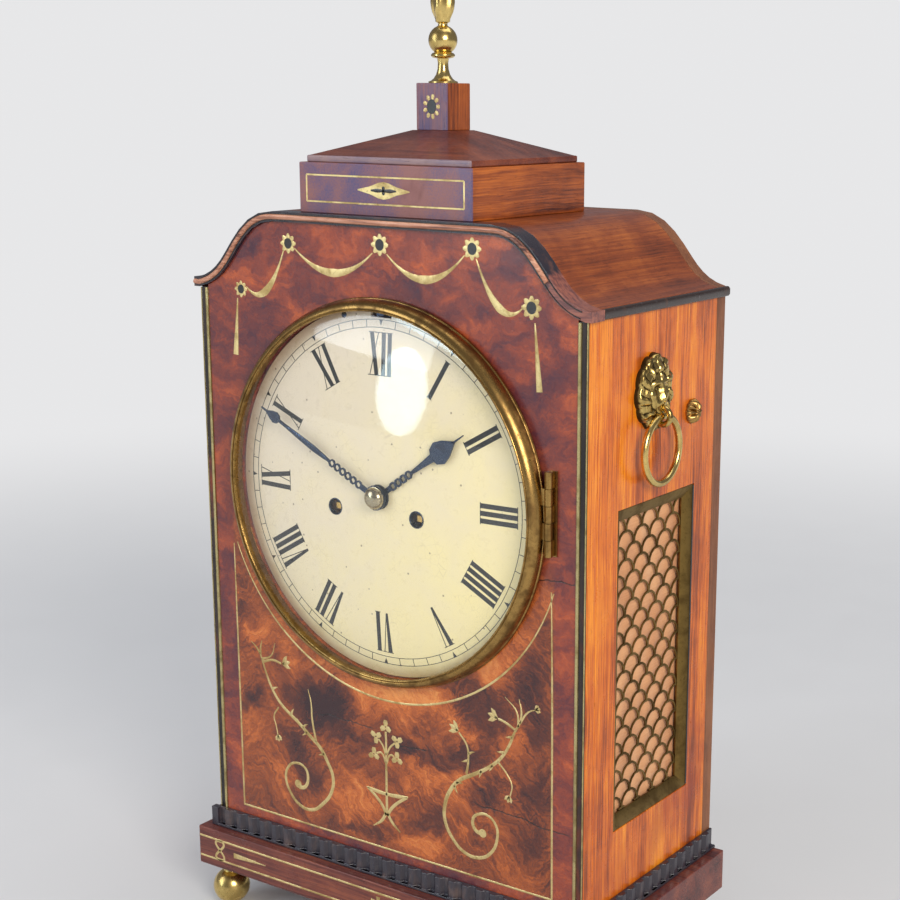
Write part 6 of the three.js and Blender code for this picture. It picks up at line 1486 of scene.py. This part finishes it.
# %% Cast brass
cast_brass = Finish("cast_brass", "brass", Metallic=1.0)
hollows = cast_brass.node("ShaderNodeAttribute", {"attribute_name": "hollow"}, {}, "Fac")
patches = cast_brass.noise(cast_brass.even(6), 5, 0.66, 0.4)
grit = cast_brass.noise(cast_brass.even(0.7), 4, 0.7)
dirty = (hollows * 1.3 + patches.spread(0.46, 0.7) * 0.6 + (grit - 0.5) * 0.4).spread(0.08, 0.7)
colour = cast_brass.mix(patches.spread(0.4, 0.66) * 0.6, rgb(206, 178, 108), rgb(130, 102, 54))
cast_brass.put(Base_Color=cast_brass.mix(dirty * 0.92, colour, rgb(38, 27, 17)), Roughness=dirty * 0.3 + 0.2,
               Normal=cast_brass.bump(grit * 0.4 + patches, 0.03, 0.7))
print("cast brass nodes:", len(cast_brass.tree.nodes))


# %% Masks, eyes and rings
def wire_ring(radius, wire, around_it, along_it, location, rotation):
    bpy.ops.mesh.primitive_torus_add(
        major_radius=radius * MM, minor_radius=wire * MM, major_segments=around_it, minor_segments=along_it,
        location=location, rotation=rotation)
    return bpy.context.active_object


FACING_FRONT, FACING_SIDE = (math.pi / 2, 0, 0), (0, math.pi / 2, 0)
for side, name in ((-1, "left"), (1, "right")):
    mask = lion_mask(side, name)
    eye_place = Vector((side * 139.5, -2.5, 328.7)) * MM
    eye = wire_ring(4.4, 1.65, 48, 20, eye_place, FACING_FRONT)
    curl = wire_ring(3.4, 1.1, 40, 14, (side * 134.6 * MM, eye_place.y, 325.0 * MM), FACING_SIDE)
    hand_over(joined(mask, eye, curl), "lion_mask_" + name, cast_brass.material, "case", "handle_mask_" + name,
              smooth=60)
    low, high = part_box("handle_ring_" + name)
    ring = wire_ring(18, 1.95, 96, 20, (low + high) / 2, FACING_SIDE)
    hand_over(ring, "ring_" + name, brass, "ring_" + name, "handle_ring_" + name, smooth=60)
print("mask faces:", len(mask.data.polygons))

# %% [markdown]
# ## The fluted knob
# A small shell-like knob on the right side locks the movement. It is turned, and its radius then
# swings in ten flutes that fade towards the middle.

# %% Knob
KNOB = [(0, 6), (0.7, 5.95), (1.2, 5.6), (1.4, 4.9), (1.7, 4.8), (2.3, 4.9), (3.4, 4.7), (4.4, 4.3), (5.3, 3.7),
        (6.1, 2.9), (6.7, 2.0), (7.0, 1.2), (7.1, 0.5), (7.0, 0), (0, 0)]
FLUTE_DEPTH, FLUTE_NARROWING = 0.42, 0.1
low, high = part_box("side_knob")
knob = spun(KNOB, "X", (low.x / MM, (low.y + high.y) / 2 / MM, (low.z + high.z) / 2 / MM), 80)
middle = Vector((low.x, (low.y + high.y) / 2, (low.z + high.z) / 2))
for vertex in knob.data.vertices:
    x, y, z = vertex.co - middle
    out = math.hypot(y, z) / MM
    flute = min(1, max(0, out - 1.5) / 1.6) * (1 - abs(math.cos(5 * math.atan2(z, y)))) ** 0.8
    narrow = 1 - FLUTE_NARROWING * flute
    vertex.co = (middle.x + x * (1 - FLUTE_DEPTH * flute), middle.y + y * narrow, middle.z + z * narrow)
hand_over(knob, "knob_fluted", bezel_brass, "case", "side_knob", smooth=35)
print("knob faces:", len(knob.data.polygons))

# %% [markdown]
# ## Hinge, rear door and movement
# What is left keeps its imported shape. Fittings that are seen close get eased edges; wheels and
# small steelwork inside, seen only through the glass of the rear door, get their metals as they are.

# %% Hinge, door and movement
FITTINGS = {
    "bezel_hinge": (bezel_brass, 0.25, 40), "rear_door": (plain_wood, 0.7, 32), "rear_catch": (brass, 0.3, 40),
    "front_plate": (movement_brass, 0.25, 30), "back_plate": (movement_brass, 0.25, 30),
    "pendulum": (movement_brass, 0.15, 40), "bell": (bell_metal, 0.2, 60), "rear_glass": (glass, 0.3, 32)}
STEEL_PIECES = "anchor", "strike_hammer"
for node, (finish, edge, smooth) in FITTINGS.items():
    eased(node, finish, edge, smooth=smooth)
plain = []
for name, piece in nodes.items():
    if piece.hide_render:
        continue
    for slot in piece.material_slots:
        slot.material = steel if name in STEEL_PIECES else movement_brass
    plain.append(name)
print("in their packed shape:", plain)

# %% [markdown]
# ## Floor and light
# A pale floor that fades into an equally pale background, one soft warm lamp from the right and in
# front as the window was, a cooler one from the left, and a weak one above, which together show
# the colours about as they are written.

# %% Floor
BACKGROUND = (0.80, 0.80, 0.81, 1)
bpy.ops.mesh.primitive_circle_add(vertices=96, radius=9, fill_type="NGON", location=(0, 0, -0.2 * MM))
ground = bpy.context.active_object
ground.name = "floor"
pale = Finish("studio_floor", "floor", Base_Color=(0.66, 0.66, 0.67, 1), Roughness=0.7)
away = pale.distance(pale.even(1000))
mottle = pale.noise(pale.even(60), 4, 0.6)
pale.put(Roughness=mottle.spread(0.3, 0.7, 0.62, 0.74), Normal=pale.bump(mottle, 0.1, 0.3))
far = pale.node("ShaderNodeEmission", {}, {"Color": BACKGROUND, "Strength": 1.0})
pale.surface(away.spread(0.55, 1.7), Wire(pale, pale.shader.outputs[0]), far)
ground.data.materials.append(pale.material)
print("floor fades out between 0.55 and 1.7 m")

# %% World
world = bpy.data.worlds.new("studio")
bpy.context.scene.world = world
world.use_nodes = True
sky = world.node_tree


def glow(node, colour, strength):
    node.inputs["Color"].default_value, node.inputs["Strength"].default_value = colour, strength
    return node.outputs[0]


lit = glow(sky.nodes["Background"], (0.86, 0.88, 0.92, 1), 0.55)
seen = glow(sky.nodes.new("ShaderNodeBackground"), BACKGROUND, 1.0)
mirrored = glow(sky.nodes.new("ShaderNodeBackground"), (0.50, 0.50, 0.56, 1), 0.42)
ray = sky.nodes.new("ShaderNodeLightPath").outputs
first, last = sky.nodes.new("ShaderNodeMixShader"), sky.nodes.new("ShaderNodeMixShader")
for source, target in [
        (ray["Is Glossy Ray"], first.inputs[0]), (lit, first.inputs[1]), (mirrored, first.inputs[2]),
        (ray["Is Camera Ray"], last.inputs[0]), (first.outputs[0], last.inputs[1]), (seen, last.inputs[2]),
        (last.outputs[0], sky.nodes["World Output"].inputs["Surface"])]:
    sky.links.new(source, target)
print("world nodes:", len(sky.nodes))


# %% Lamps
def lamp(name, at, towards, size, power, tint, tall=None):
    light = bpy.data.lights.new(name, "AREA")
    light.shape = "ELLIPSE" if tall else "SQUARE"
    light.size, light.size_y = size, tall or size
    light.energy, light.color = power, tint
    piece = bpy.data.objects.new(name, light)
    bpy.context.scene.collection.objects.link(piece)
    piece.location = at
    piece.rotation_euler = (Vector(towards) - Vector(at)).to_track_quat("-Z", "Y").to_euler()


lamp("window_right", (1.75, -1.15, 1.15), (0, 0, 0.25), 0.9, 34, (1.0, 0.95, 0.87))
lamp("window_left", (-1.5, -1.9, 1.35), (0, 0, 0.3), 1.3, 18, (0.86, 0.92, 1.0))
lamp("window_glint", (-1.0, -1.78, 0.5), (0.02, -0.08, 0.345), 0.4, 3.2, (0.72, 0.92, 1.0), 0.52)
lamp("ceiling", (0.1, 0.5, 2.3), (0, 0, 0.3), 1.8, 16, (1.0, 0.99, 0.97))
bpy.context.scene.view_settings.view_transform = "Standard"
print("lamps:", len(bpy.data.lights))

# %% [markdown]
# ## Last
# The selection is cleared at the end.

# %% Finish
bpy.ops.object.select_all(action="DESELECT")
